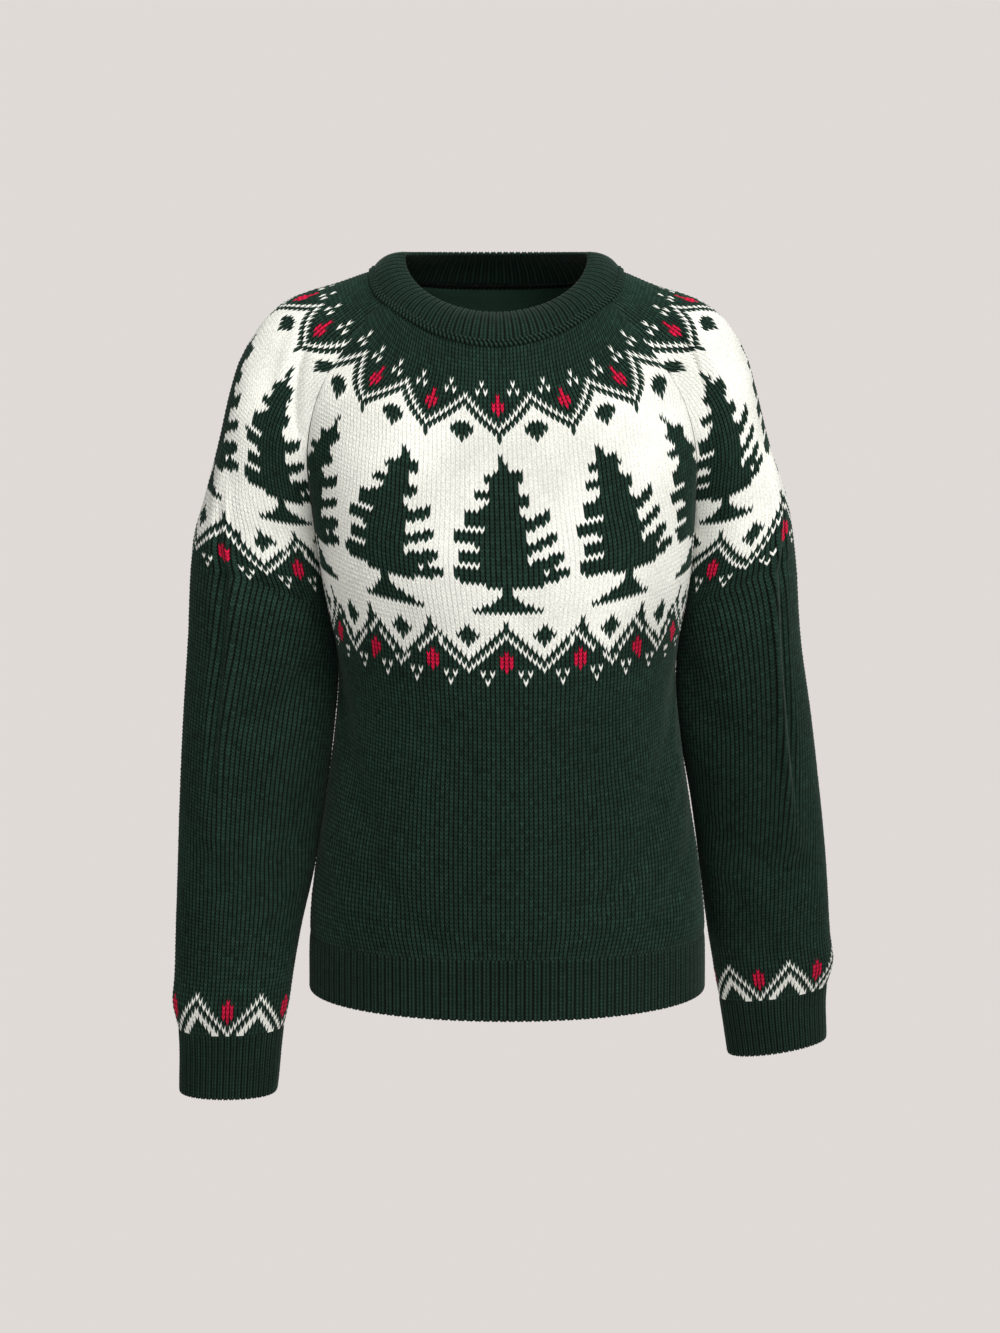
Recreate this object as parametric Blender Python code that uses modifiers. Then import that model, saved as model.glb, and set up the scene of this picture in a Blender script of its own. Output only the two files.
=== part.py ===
"""Christmas sweater: a raglan knit with nine sewn pieces, worn and hollow.

Every piece is a wall of cloth on one form. The form is made of courses, the rows
of a knit. A course runs round the body or a sleeve through a few key lines: the
middle of the front, the raglan seams, the ridge of the sleeve and the middle of
the back. The tables give those lines, a row for each section, in millimetres.
X runs to the viewer's right, Y to the back and Z up, with the origin in the
middle of the neck at the height of the shoulder by the neckband.
"""
import math

import bpy
import numpy as np

MM = 0.001

# Thickness of the cloth, and the gaps left at its sewn seams. The walls lean
# towards each other inside a seam, which leaves them about 0.3 mm apart there.
KNIT_WALL = 2.4
RIB_WALL = 3.0
SEAM_GAP = 0.7
SIDE_GAP = 1.2

# Gap left above and below a seam between two courses, in courses.
EDGE_GAP = 0.1

# Courses counted down from the neck seam.
UNDERARM = 84
HEM_SEAM = 151
HEM_EDGE = 167
CUFF_SEAM = 207
CUFF_EDGE = 225

# How finely each piece is cut into faces.
YOKE_STEPS = 12
BODY_STEPS = 10
SLEEVE_STEPS = 15
RIB_STEPS = 2
HALF_COLUMNS = 10
BAND_COLUMNS = 36
BAND_STEPS = 3


def table(columns, *rows):
    """Named columns of numbers, from one tuple for each section."""
    return dict(zip(columns.split(), np.array(rows, dtype=float).T))


# Sideways lean of the body, which the raglans, side seams and neckband follow.
LEAN = table(
    "course  x",
    (0,      -3.0),
    (12,     -2.0),
    (26,     0.0),
    (40,     1.5),
    (54,     3.0),
    (66,     4.5),
    (84,     5.5),
    (108,    6.0),
    (167,    6.0),
)

# Middle of the front and of the back. "reach" is how far the course runs on
# level before it turns round to the side.
FRONT_LINE = table(
    "course  y      z      reach",
    (0,      -98,   -74,   39),
    (12,     -105,  -111,  48),
    (26,     -113,  -155,  58),
    (40,     -120,  -199,  70),
    (54,     -124,  -243,  80),
    (66,     -125,  -281,  84),
    (84,     -124,  -338,  83),
    (95,     -122,  -373,  81),
    (108,    -120,  -414,  81),
    (122,    -118,  -460,  86),
    (137,    -115,  -510,  90),
    (151,    -112,  -557,  94),
    (167,    -110,  -608,  95),
)
BACK_LINE = table(
    "course  y      z      reach",
    (0,      80,    -26,   38),
    (12,     88,    -72,   50),
    (26,     97,    -117,  62),
    (40,     103,   -164,  70),
    (54,     106,   -211,  78),
    (66,     106,   -252,  82),
    (84,     104,   -314,  83),
    (95,     101,   -356,  81),
    (108,    99,    -405,  81),
    (122,    99,    -454,  86),
    (137,    102,   -507,  90),
    (151,    105,   -556,  92),
    (167,    106,   -608,  93),
)

# Raglan seams, as distances out from the middle. "body_turn" and "sleeve_turn"
# are the headings of the course on either side of the seam, in degrees from
# straight out towards the back, and "climb" is its slope.
FRONT_RAGLAN = table(
    "course  x      y     z      body_turn  sleeve_turn  climb  body_reach  sleeve_reach",
    (0,      91,    -50,  -38,   52,        52,          25,    37,         20),
    (12,     123,   -63,  -79,   38,        38,          24,    45,         30),
    (26,     144,   -66,  -114,  44,        28,          23,    50,         36),
    (40,     154,   -60,  -157,  62,        -8,          21,    52,         42),
    (54,     153,   -46,  -199,  82,        -36,         16,    56,         50),
    (66,     150,   -30,  -239,  91,        -58,         14,    62,         58),
    (76,     146,   -12,  -274,  92,        -76,         18,    70,         67),
    (84,     142,   5,    -302,  90,        -90,         25,    72,         76),
)
BACK_RAGLAN = table(
    "course  x      y     z      body_turn  sleeve_turn  climb  body_reach  sleeve_reach",
    (0,      91,    45,   -21,   48,        48,          8,     30,         20),
    (12,     122,   54,   -48,   34,        36,          12,    45,         30),
    (26,     142,   58,   -86,   38,        30,          15,    50,         34),
    (40,     150,   55,   -129,  58,        -4,          16,    52,         42),
    (54,     152,   46,   -177,  80,        -34,         12,    56,         50),
    (66,     150,   34,   -221,  91,        -56,         10,    62,         58),
    (76,     146,   20,   -265,  92,        -75,         14,    70,         67),
    (84,     142,   5,    -302,  90,        -90,         20,    72,         76),
)

# Side seam of the body below the underarm, as distances out from the middle.
BODY_SIDE = table(
    "course  x      y    z      climb  body_reach",
    (84,     142,   5,   -302,  22,    72),
    (95,     139,   5,   -343,  12,    70),
    (108,    143,   5,   -393,  5,     70),
    (122,    151,   5,   -447,  0,     68),
    (137,    160,   5,   -505,  0,     66),
    (151,    165,   5,   -560,  0,     66),
    (167,    166,   5,   -608,  0,     66),
)

# Outer ridge of each sleeve from the neck seam to the cuff's edge.
LEFT_RIDGE = table(
    "course  x      y    z      reach",
    (0,      104,   0,   -14,   20),
    (6,      132,   -1,  -24,   24),
    (12,     162,   -2,  -33,   30),
    (19,     183,   -3,  -46,   33),
    (26,     198,   -3,  -64,   36),
    (33,     210,   -3,  -85,   39),
    (40,     217,   -3,  -106,  43),
    (54,     229,   -3,  -155,  53),
    (66,     240,   -3,  -195,  62),
    (76,     249,   -2,  -225,  70),
    (84,     252,   -2,  -247,  76),
    (104,    256,   -2,  -311,  73),
    (125,    261,   -3,  -377,  68),
    (146,    265,   -3,  -444,  62),
    (167,    268,   -4,  -511,  57),
    (188,    271,   -5,  -579,  51),
    (202,    272,   -6,  -625,  47),
    (207,    270,   -6,  -641,  44),
    (225,    270,   -6,  -696,  40),
)
RIGHT_RIDGE = table(
    "course  x      y    z      reach",
    (0,      98,    0,   -14,   20),
    (6,      126,   -1,  -26,   24),
    (12,     155,   -2,  -35,   30),
    (19,     176,   -3,  -48,   33),
    (26,     190,   -3,  -65,   36),
    (33,     200,   -3,  -85,   39),
    (40,     206,   -3,  -106,  43),
    (54,     219,   -2,  -155,  53),
    (66,     233,   -1,  -195,  62),
    (76,     239,   1,   -225,  70),
    (84,     242,   3,   -247,  76),
    (104,    248,   11,  -311,  73),
    (125,    259,   24,  -375,  68),
    (146,    269,   40,  -439,  62),
    (167,    278,   56,  -503,  57),
    (188,    285,   73,  -569,  51),
    (202,    289,   85,  -612,  47),
    (207,    287,   89,  -628,  44),
    (225,    289,   103, -681,  40),
)

# Inner line of each sleeve below the underarm, where its own seam lies.
LEFT_INNER = table(
    "course  x      y    z      climb  sleeve_reach",
    (84,     137,   5,   -302,  25,    76),
    (104,    138,   4,   -354,  8,     73),
    (125,    145,   2,   -411,  0,     68),
    (146,    154,   0,   -467,  0,     62),
    (167,    163,   -2,  -525,  0,     57),
    (188,    172,   -4,  -583,  0,     51),
    (202,    179,   -5,  -625,  0,     47),
    (207,    182,   -5,  -640,  0,     44),
    (225,    187,   -6,  -696,  0,     40),
)
RIGHT_INNER = table(
    "course  x      y    z      climb  sleeve_reach",
    (84,     148,   5,   -302,  25,    76),
    (104,    150,   12,  -354,  8,     73),
    (125,    154,   26,  -410,  0,     68),
    (146,    163,   41,  -466,  0,     62),
    (167,    172,   57,  -524,  0,     57),
    (188,    182,   73,  -584,  0,     51),
    (202,    190,   85,  -625,  0,     47),
    (207,    193,   89,  -641,  0,     44),
    (225,    203,   103, -696,  0,     40),
)

# Largest soft folds, each along a line from one course and share of the way
# across to another. "width" is how far it spreads and "lift" how high it stands,
# in millimetres, with troughs below zero. The body's shares run from -1 at the
# left seam to 1 at the right, and its face is -1 at the front and 1 at the back.
BODY_FOLDS = table(
    "face  course_from  share_from  course_to  share_to  width  lift",
    (-1,   90,          -0.90,      121,       -0.56,    20,    -3.5),
    (-1,   92,          0.93,       117,       0.62,     18,    -3.0),
    (-1,   112,         -0.30,      138,       -0.36,    26,    2.5),
    (-1,   118,         0.42,       140,       0.38,     22,    2.0),
    (1,    50,          0.03,       132,       -0.02,    42,    -7.0),
    (1,    84,          -0.86,      124,       -0.48,    20,    -4.0),
    (1,    86,          0.88,       118,       0.52,     18,    -3.5),
    (1,    108,         0.36,       143,       0.42,     22,    3.0),
    (1,    114,         -0.34,      142,       -0.38,    24,    2.5),
)

# The same for the sleeves, whose shares run from -1 at the front seam over 0 at
# the ridge to 1 at the back seam. The longest ones are the pressed edges.
SLEEVE_FOLDS = table(
    "side  course_from  share_from  course_to  share_to  width  lift",
    (-1,   56,          -0.30,      152,       -0.33,    12,    3.0),
    (-1,   66,          0.36,       146,       0.34,     13,    2.5),
    (-1,   96,          -0.92,      118,       -0.52,    16,    -3.5),
    (-1,   132,         0.85,       150,       0.50,     16,    -3.0),
    (-1,   176,         -0.62,      196,       -0.50,    14,    -2.0),
    (1,    58,          -0.28,      160,       -0.34,    12,    3.5),
    (1,    68,          0.34,       150,       0.30,     13,    2.5),
    (1,    100,         -0.88,      126,       -0.56,    17,    -3.0),
    (1,    140,         0.80,       156,       0.46,     16,    -3.0),
    (1,    172,         -0.70,      192,       -0.54,    14,    -2.5),
)
COURSE_HEIGHT = 3.2
BODY_HALF_WIDTH = 225
SLEEVE_HALF_WIDTH = 175

# Upper edge of the neckband at the front, side and back, and how far the band
# bulges out between its seam and that edge.
BAND_FRONT = (0.0, -75.0, -47.0)
BAND_SIDE = (74.0, -3.0, 1.0)
BAND_BACK = (0.0, 55.0, 4.0)
BAND_BULGE = 5.0

# Colour, roughness and metallic value.
GREEN_KNIT = ("green_knit", (0.016, 0.042, 0.030, 1.0), 0.95, 0.0)
GREEN_RIB = ("green_rib", (0.014, 0.036, 0.026, 1.0), 0.95, 0.0)


def along(columns, name, course):
    """Smooth value of a column at a course."""
    knots = columns["course"]
    values = columns[name]
    slopes = np.gradient(values, knots)
    place = int(np.clip(np.searchsorted(knots, course, side="right") - 1, 0, len(knots) - 2))
    span = knots[place + 1] - knots[place]
    share = (course - knots[place]) / span
    rest = 1.0 - share
    level = values[place] * rest * rest * (1 + 2 * share) + values[place + 1] * share * share * (3 - 2 * share)
    swing = share * rest * span * (slopes[place] * rest - slopes[place + 1] * share)
    return float(level + swing)


def point(columns, course, side):
    """Where a key line stands at a course, on the left for side -1 and the right for 1."""
    return np.array([side * along(columns, "x", course), along(columns, "y", course), along(columns, "z", course)])


def lean(course):
    """Sideways lean of the body at a course."""
    return np.array([along(LEAN, "x", course), 0.0, 0.0])


def heading(turn, climb, side):
    """Direction out from the middle, turned towards the back and climbing, in degrees."""
    turn = math.radians(turn)
    climb = math.radians(climb)
    return np.array([side * math.cos(turn) * math.cos(climb), math.sin(turn) * math.cos(climb), math.sin(climb)])


def evenly_along(start, start_pull, end_pull, end, count):
    """Points at equal lengths along a cubic curve."""
    fine = np.linspace(0.0, 1.0, 65)[:, None]
    rest = 1.0 - fine
    curve = start * rest**3 + 3 * start_pull * rest**2 * fine + 3 * end_pull * rest * fine**2 + end * fine**3
    steps = np.linalg.norm(np.diff(curve, axis=0), axis=1)
    length = np.concatenate([[0.0], np.cumsum(steps)])
    wanted = np.linspace(0.0, length[-1], count + 1)
    return np.stack([np.interp(wanted, length, curve[:, axis]) for axis in range(3)], axis=1)


def fold_lift(folds, owner, key, course, shares, half_width):
    """How far the folds of one face or side raise the points of a course."""
    lift = np.zeros(len(shares))
    for place in np.flatnonzero(folds[owner] == key):
        fold = {name: values[place] for name, values in folds.items()}
        start = np.array([fold["course_from"] * COURSE_HEIGHT, fold["share_from"] * half_width])
        run = np.array([fold["course_to"] * COURSE_HEIGHT, fold["share_to"] * half_width]) - start
        here = np.stack([np.full(len(shares), course * COURSE_HEIGHT), shares * half_width], axis=1) - start
        nearest = np.clip(here @ run / (run @ run), 0.0, 1.0)[:, None] * run
        away = np.linalg.norm(here - nearest, axis=1)
        lift += fold["lift"] * np.exp(-((away / fold["width"]) ** 2))
    return lift


def raised(points, axis, lift):
    """Points moved straight out from an upright axis."""
    outwards = (points - axis) * (1.0, 1.0, 0.0)
    outwards /= np.linalg.norm(outwards, axis=1)[:, None]
    return points + outwards * lift[:, None]


def body_half(course, side, face, count=HALF_COLUMNS):
    """One half of a body course, from the middle line out to the raglan or side seam."""
    middle = FRONT_LINE if face == "front" else BACK_LINE
    towards_back = 1 if face == "front" else -1
    edge = FRONT_RAGLAN if face == "front" else BACK_RAGLAN
    turn = 90.0
    if course >= UNDERARM:
        edge = BODY_SIDE
    else:
        turn = along(edge, "body_turn", course)
    start = np.array([0.0, along(middle, "y", course), along(middle, "z", course)]) + lean(course)
    end = point(edge, course, side) + lean(course)
    outwards = np.array([side * along(middle, "reach", course), 0.0, 0.0])
    arriving = heading(towards_back * turn, along(edge, "climb", course), side)
    half = evenly_along(start, start + outwards, end - arriving * along(edge, "body_reach", course), end, count)
    shares = np.linspace(0.0, side, count + 1)
    lift = fold_lift(BODY_FOLDS, "face", -towards_back, course, shares, BODY_HALF_WIDTH)
    return raised(half, lean(course), lift)


def sleeve_half(course, side, face, count=HALF_COLUMNS):
    """One half of a sleeve course, from its seam at the body out to the ridge."""
    ridge = LEFT_RIDGE if side < 0 else RIGHT_RIDGE
    towards_back = 1 if face == "front" else -1
    gap = np.array([side * SEAM_GAP, 0.0, 0.0])
    if course >= UNDERARM:
        edge = LEFT_INNER if side < 0 else RIGHT_INNER
        start = point(edge, course, side) + gap
        turn = -90.0
    else:
        edge = FRONT_RAGLAN if face == "front" else BACK_RAGLAN
        start = point(edge, course, side) + gap + lean(course)
        turn = along(edge, "sleeve_turn", course)
    end = point(ridge, course, side)
    leaving = heading(towards_back * turn, along(edge, "climb", course), side)
    forward = np.array([0.0, -towards_back * along(ridge, "reach", course), 0.0])
    half = evenly_along(start, start + leaving * along(edge, "sleeve_reach", course), end + forward, end, count)
    shares = np.linspace(-towards_back, 0.0, count + 1)
    lift = fold_lift(SLEEVE_FOLDS, "side", side, course, shares, SLEEVE_HALF_WIDTH)
    axis = np.array([(start[0] + end[0]) / 2, end[1], 0.0])
    return raised(half, axis, lift)


def body_course(course, face):
    """A whole body course across one face, from the left seam to the right seam."""
    left = body_half(course, -1, face)
    right = body_half(course, 1, face)
    return np.vstack([left[::-1], right[1:]])


def sleeve_course(course, side):
    """A whole sleeve course, from the front seam over the ridge to the back seam."""
    front = sleeve_half(course, side, "front")
    back = sleeve_half(course, side, "back")
    return np.vstack([front, back[::-1][1:]])


def neck_seam():
    """The closed neck seam, from the middle of the front round by the right."""
    right = [body_half(0, 1, "front"), sleeve_half(0, 1, "front")]
    right += [sleeve_half(0, 1, "back")[::-1], body_half(0, 1, "back")[::-1]]
    left = [body_half(0, -1, "back"), sleeve_half(0, -1, "back")]
    left += [sleeve_half(0, -1, "front")[::-1], body_half(0, -1, "front")[::-1]]
    return resampled(np.vstack(right + left), BAND_COLUMNS)


def band_edge():
    """The closed upper edge of the neckband, from the middle of the front round by the right."""
    turn = np.linspace(0.0, 2 * math.pi, 145)
    depth = np.where(np.cos(turn) > 0, BAND_FRONT[1] - BAND_SIDE[1], BAND_SIDE[1] - BAND_BACK[1])
    x = BAND_SIDE[0] * np.sin(turn) + along(LEAN, "x", 0)
    y = BAND_SIDE[1] + depth * np.cos(turn)
    height = np.where(np.cos(turn) > 0, BAND_FRONT[2] - BAND_SIDE[2], BAND_SIDE[2] - BAND_BACK[2])
    z = BAND_SIDE[2] + height * np.cos(turn)
    return resampled(np.stack([x, y, z], axis=1), BAND_COLUMNS)


def resampled(loop, count):
    """Equally spaced points round a closed loop, the first one not repeated."""
    steps = np.linalg.norm(np.diff(loop, axis=0), axis=1)
    length = np.concatenate([[0.0], np.cumsum(steps)])
    wanted = np.linspace(0.0, length[-1], count + 1)[:-1]
    return np.stack([np.interp(wanted, length, loop[:, axis]) for axis in range(3)], axis=1)


def band_rows():
    """Rows of the neckband from just above the neck seam to its upper edge."""
    seam = neck_seam()
    edge = band_edge()
    rise = edge - seam
    round_band = np.roll(edge, -1, axis=0) - np.roll(edge, 1, axis=0)
    outwards = np.cross(round_band, rise)
    outwards /= np.linalg.norm(outwards, axis=1)[:, None]
    height = np.linalg.norm(rise, axis=1)[:, None]
    rows = []
    for step in range(BAND_STEPS + 1):
        share = step / BAND_STEPS
        lift = 4 * share * (1 - share) * BAND_BULGE
        rows.append(seam + rise * share + rise / height * SEAM_GAP * (1 - share) + outwards * lift)
    return rows


def course_steps(start, end, steps):
    """Course numbers from start to end in equal steps."""
    return list(np.linspace(start, end, steps + 1))


def make_sheet(name, rows, closed_rows, flipped):
    """Open surface through rows of points, closed into rings where closed_rows says so."""
    vertices = []
    index = []
    for row, closed in zip(rows, closed_rows):
        own = row[:-1] if closed else row
        first = len(vertices)
        vertices.extend(tuple(place * MM) for place in own)
        numbers = list(range(first, first + len(own)))
        index.append(numbers + numbers[:1] if closed else numbers)
    faces = []
    for upper, lower in zip(index, index[1:]):
        for left in range(len(upper) - 1):
            corners = (upper[left], lower[left], lower[left + 1], upper[left + 1])
            faces.append(corners[::-1] if flipped else corners)
    mesh = bpy.data.meshes.new(name)
    mesh.from_pydata(vertices, [], faces)
    mesh.validate()
    mesh.shade_smooth()
    return bpy.data.objects.new(name, mesh)


def make_material(look):
    """Principled material from a name, colour, roughness and metallic value."""
    name, colour, roughness, metallic = look
    material = bpy.data.materials.new(name)
    material.use_nodes = True
    shader = material.node_tree.nodes["Principled BSDF"]
    shader.inputs["Base Color"].default_value = colour
    shader.inputs["Roughness"].default_value = roughness
    shader.inputs["Metallic"].default_value = metallic
    return material


def add_wall(sheet, thickness, material, collection):
    """Give a sheet its thickness inwards, its material and its place in the collection."""
    wall = sheet.modifiers.new("wall", "SOLIDIFY")
    wall.thickness = thickness * MM
    wall.offset = -1.0
    wall.use_rim = True
    sheet.data.materials.append(material)
    collection.objects.link(sheet)


def build_panel(face, knit, collection):
    """Front or back of the body."""
    courses = course_steps(EDGE_GAP, UNDERARM, YOKE_STEPS)
    courses += course_steps(UNDERARM, HEM_SEAM - EDGE_GAP, BODY_STEPS)[1:]
    rows = [body_course(course, face) for course in courses]
    if face == "back":
        rows = [gapped_sides(row, course) for row, course in zip(rows, courses)]
    sheet = make_sheet(face + "_panel", rows, [False] * len(rows), flipped=face == "back")
    add_wall(sheet, KNIT_WALL, knit, collection)


def gapped_sides(row, course):
    """The back's side edges drawn clear of the front's, below the underarm."""
    if course < UNDERARM:
        return row
    row = row.copy()
    row[0, 1] += SIDE_GAP
    row[-1, 1] += SIDE_GAP
    return row


def build_hem(face, rib, collection):
    """Ribbed welt below the front or the back."""
    courses = course_steps(HEM_SEAM + EDGE_GAP, HEM_EDGE, RIB_STEPS)
    rows = [body_course(course, face) for course in courses]
    if face == "back":
        rows = [gapped_sides(row, course) for row, course in zip(rows, courses)]
    sheet = make_sheet("hem_rib_" + face, rows, [False] * len(rows), flipped=face == "back")
    add_wall(sheet, RIB_WALL, rib, collection)


def build_sleeve(side, knit, collection):
    """Raglan sleeve, open to the body above the underarm and a tube below it."""
    courses = course_steps(EDGE_GAP, UNDERARM, YOKE_STEPS)
    courses += course_steps(UNDERARM, CUFF_SEAM - EDGE_GAP, SLEEVE_STEPS)[1:]
    rows = [sleeve_course(course, side) for course in courses]
    closed = [course >= UNDERARM for course in courses]
    name = "sleeve_left" if side < 0 else "sleeve_right"
    sheet = make_sheet(name, rows, closed, flipped=side < 0)
    add_wall(sheet, KNIT_WALL, knit, collection)


def build_cuff(side, rib, collection):
    """Ribbed cuff, a tube below the sleeve."""
    courses = course_steps(CUFF_SEAM + EDGE_GAP, CUFF_EDGE, RIB_STEPS)
    rows = [sleeve_course(course, side) for course in courses]
    name = "cuff_rib_left" if side < 0 else "cuff_rib_right"
    sheet = make_sheet(name, rows, [True] * len(rows), flipped=side < 0)
    add_wall(sheet, RIB_WALL, rib, collection)


def build_neckband(rib, collection):
    """Ribbed band round the neck opening."""
    rows = [np.vstack([row, row[:1]]) for row in band_rows()]
    sheet = make_sheet("neckband", rows, [True] * len(rows), flipped=True)
    add_wall(sheet, RIB_WALL, rib, collection)


def main():
    for stale in list(bpy.data.objects):
        bpy.data.objects.remove(stale, do_unlink=True)
    collection = bpy.data.collections.new("christmas_sweater")
    bpy.context.scene.collection.children.link(collection)
    knit = make_material(GREEN_KNIT)
    rib = make_material(GREEN_RIB)
    for face in ("front", "back"):
        build_panel(face, knit, collection)
        build_hem(face, rib, collection)
    for side in (-1, 1):
        build_sleeve(side, knit, collection)
        build_cuff(side, rib, collection)
    build_neckband(rib, collection)


main()
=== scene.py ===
"""Christmas sweater, the looks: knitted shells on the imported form.

Each of the nine sewn pieces is a mesh of single stitches on the same curved surface as
its solid. The tables of the form repeat the ones in the part's own source and are in
millimetres: X runs to the viewer's right, Y to the back and Z up, with the origin in the
middle of the neck. Rows of stitches are counted down from the neck seam.
"""
import math

import bpy
import numpy as np
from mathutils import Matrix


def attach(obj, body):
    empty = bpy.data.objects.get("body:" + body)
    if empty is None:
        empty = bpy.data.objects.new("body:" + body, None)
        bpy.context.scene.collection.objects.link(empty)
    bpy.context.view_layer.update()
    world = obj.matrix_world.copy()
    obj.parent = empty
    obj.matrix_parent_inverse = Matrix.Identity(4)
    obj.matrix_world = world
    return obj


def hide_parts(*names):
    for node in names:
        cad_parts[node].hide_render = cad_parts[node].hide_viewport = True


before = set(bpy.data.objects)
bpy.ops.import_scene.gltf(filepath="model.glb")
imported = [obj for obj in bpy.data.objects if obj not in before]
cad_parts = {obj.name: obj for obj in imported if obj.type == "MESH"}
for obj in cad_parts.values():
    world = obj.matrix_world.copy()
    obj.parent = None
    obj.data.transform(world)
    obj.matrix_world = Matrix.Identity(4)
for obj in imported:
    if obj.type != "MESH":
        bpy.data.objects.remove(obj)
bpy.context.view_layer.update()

MM = 0.001
SEED = 24

KNIT_WALL = 2.4
UNDERARM = 84
HEM_SEAM = 151
HEM_EDGE = 167
CUFF_SEAM = 207
CUFF_EDGE = 225
COURSE_HEIGHT = 3.2
HALF_COLUMNS = 100

# A stitch: heights of the lines between stitches, of their middle lines and of the tops
# of the two legs, how far a stitch reaches into the next row, and how uneven the legs are.
BETWEEN_STITCHES = -0.55
STITCH_MIDDLE = -0.30
LEG_TOP = 0.50
NESTING = 1.1
LEG_UNEVENNESS = 0.09

# Shares of full relief where a stitch meets its neighbours and along its middle, and on
# the wrong side. A leg's top has 1. The material paints shade and highlight by them: the
# lower the share, the darker the painted shade between stitches.
GAP_SHADE_RELIEF = 0.0
MIDDLE_SHADE_RELIEF = 0.66
INSIDE_SHADE_RELIEF = 0.7

# The cloth rises by PUFF away from its seams, over about SEAM_REACH, and the wrong side
# reaches its depth over INSIDE_REACH.
PUFF = 0.7
SEAM_REACH = 4.0
INSIDE_REACH = 2.0

# How high the ribs stand, how much lower their legs are, and of how much less relief for
# the painted shade, between two stitches, and how uneven the ribs are in height and in
# colour.
RIB_RISE = 0.35
RIB_NECK = 0.18
RIB_NECK_SHADE_RELIEF = 0.62
RIB_UNEVENNESS = 0.04
RIB_COLOUR_UNEVENNESS = 0.07
HEM_RIBS = 66
CUFF_RIBS = 46
BAND_RIBS = 90
BAND_ROWS = 13

# A rib's free edge is rolled round this radius, from so many courses before its end, in
# turns of so many degrees. So much of the ribs' relief for the painted shade is left there,
# and they flatten towards the inside, where so much of their height and of that relief
# shows.
EDGE_RADIUS = 1.5
EDGE_SETBACK = 0.45
EDGE_TURNS = (40, 80, 115, 150, 180)
EDGE_SHADE_RELIEF = 0.8
EDGE_FLATTENING = 0.4
INSIDE_RIB = 0.2
INSIDE_RIB_SHADE_RELIEF = 0.6

# Chains round the neckband: their stitches, the steps along a stitch and round the yarn,
# the course and radius of each chain and the phase of its stitches, how much a stitch
# bulges, and how far the chains stand off the band.
CHAIN_STITCHES = 170
CHAIN_STEPS = 4
CHAIN_SIDES = 8
CHAINS = ((0.4, 1.9, 0.0), (1.35, 1.5, math.pi))
CHAIN_BULGE = 0.34
CHAIN_OFFSET = 0.3

# The yarns in the charts, their linear colours, and how much single stitches of each
# differ in brightness.
GREEN, WHITE, RED = 0, 1, 2
YARNS = np.array([(0.0088, 0.0230, 0.0158), (0.88, 0.885, 0.82), (0.38, 0.006, 0.033)])
UNEVENNESS = np.array([0.15, 0.02, 0.08])

# On the wrong side, how much the row's own yarn and the yarn carried behind it show, and
# the rows between which white is carried.
OWN_YARN = 0.62
CARRIED_YARN = 0.28
CARRIED_ROWS = (8, 84)

# Strips of the colour map, from the upper to the lower end of each side, its margin, and
# the spot that colours the rims at the seams.
OUTSIDE_STRIP = (0.99, 0.26)
INSIDE_STRIP = (0.24, 0.01)
RIB_OUTSIDE_STRIP = (0.99, 0.40)
RIB_INSIDE_STRIP = (0.38, 0.01)
CHAIN_STRIP = (0.99, 0.95)
MAP_MARGIN = 0.01
RIM_ON_MAP = 0.005

# Digits after the point to which two places on the map, or two points, must agree to be
# one.
MAP_DIGITS = 7
POINT_DIGITS = 3

# Stitches inside a seam stay this side of it.
LAST_SHARE = 0.9995


def table(columns, *rows):
    """Named columns of numbers, from one tuple for each section."""
    return dict(zip(columns.split(), np.array(rows, dtype=float).T))


def of_side(columns, side):
    """The columns that both sides share and those of one side, without its prefix."""
    own, other = ("left_", "right_") if side < 0 else ("right_", "left_")
    return {name.removeprefix(own): columns[name] for name in columns if not name.startswith(other)}


# One rib from groove to groove: shares of its width, heights, relief for the painted shade
# in its grooves and the painted highlights on its legs, and how far its stitches are drawn
# down into the row below. Its two legs are the places above zero, the first with the
# brighter painted highlight.
RIB = table(
    "across height relief reach",
    (   0,  -1.6, 0.06, -0.4),
    (0.12, -0.45,  0.5, -0.3),
    (0.28,  0.38,    1,    0),
    ( 0.5, -0.45, 0.27,  0.4),
    (0.72,  0.38, 0.95,    0),
    (0.88, -0.45, 0.44, -0.3),
)


# ---- The form -----------------------------------------------------------------------

LEAN = table(
    "course x",
    (  0,  -3),
    ( 12,  -2),
    ( 26,   0),
    ( 40, 1.5),
    ( 54,   3),
    ( 66, 4.5),
    ( 84, 5.5),
    (108,   6),
    (167,   6),
)
FRONT_LINE = table(
    "course y z reach",
    (  0,  -98,  -74, 39),
    ( 12, -105, -111, 48),
    ( 26, -113, -155, 58),
    ( 40, -120, -199, 70),
    ( 54, -124, -243, 80),
    ( 66, -125, -281, 84),
    ( 84, -124, -338, 83),
    ( 95, -122, -373, 81),
    (108, -120, -414, 81),
    (122, -118, -460, 86),
    (137, -115, -510, 90),
    (151, -112, -557, 94),
    (167, -110, -608, 95),
)
BACK_LINE = table(
    "course y z reach",
    (  0,  80,  -26, 38),
    ( 12,  88,  -72, 50),
    ( 26,  97, -117, 62),
    ( 40, 103, -164, 70),
    ( 54, 106, -211, 78),
    ( 66, 106, -252, 82),
    ( 84, 104, -314, 83),
    ( 95, 101, -356, 81),
    (108,  99, -405, 81),
    (122,  99, -454, 86),
    (137, 102, -507, 90),
    (151, 105, -556, 92),
    (167, 106, -608, 93),
)
FRONT_RAGLAN = table(
    "course x y z body_turn sleeve_turn climb body_reach sleeve_reach",
    ( 0,  91, -50,  -38, 52,  52, 25, 37, 20),
    (12, 123, -63,  -79, 38,  38, 24, 45, 30),
    (26, 144, -66, -114, 44,  28, 23, 50, 36),
    (40, 154, -60, -157, 62,  -8, 21, 52, 42),
    (54, 153, -46, -199, 82, -36, 16, 56, 50),
    (66, 150, -30, -239, 91, -58, 14, 62, 58),
    (76, 146, -12, -274, 92, -76, 18, 70, 67),
    (84, 142,   5, -302, 90, -90, 25, 72, 76),
)
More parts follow.
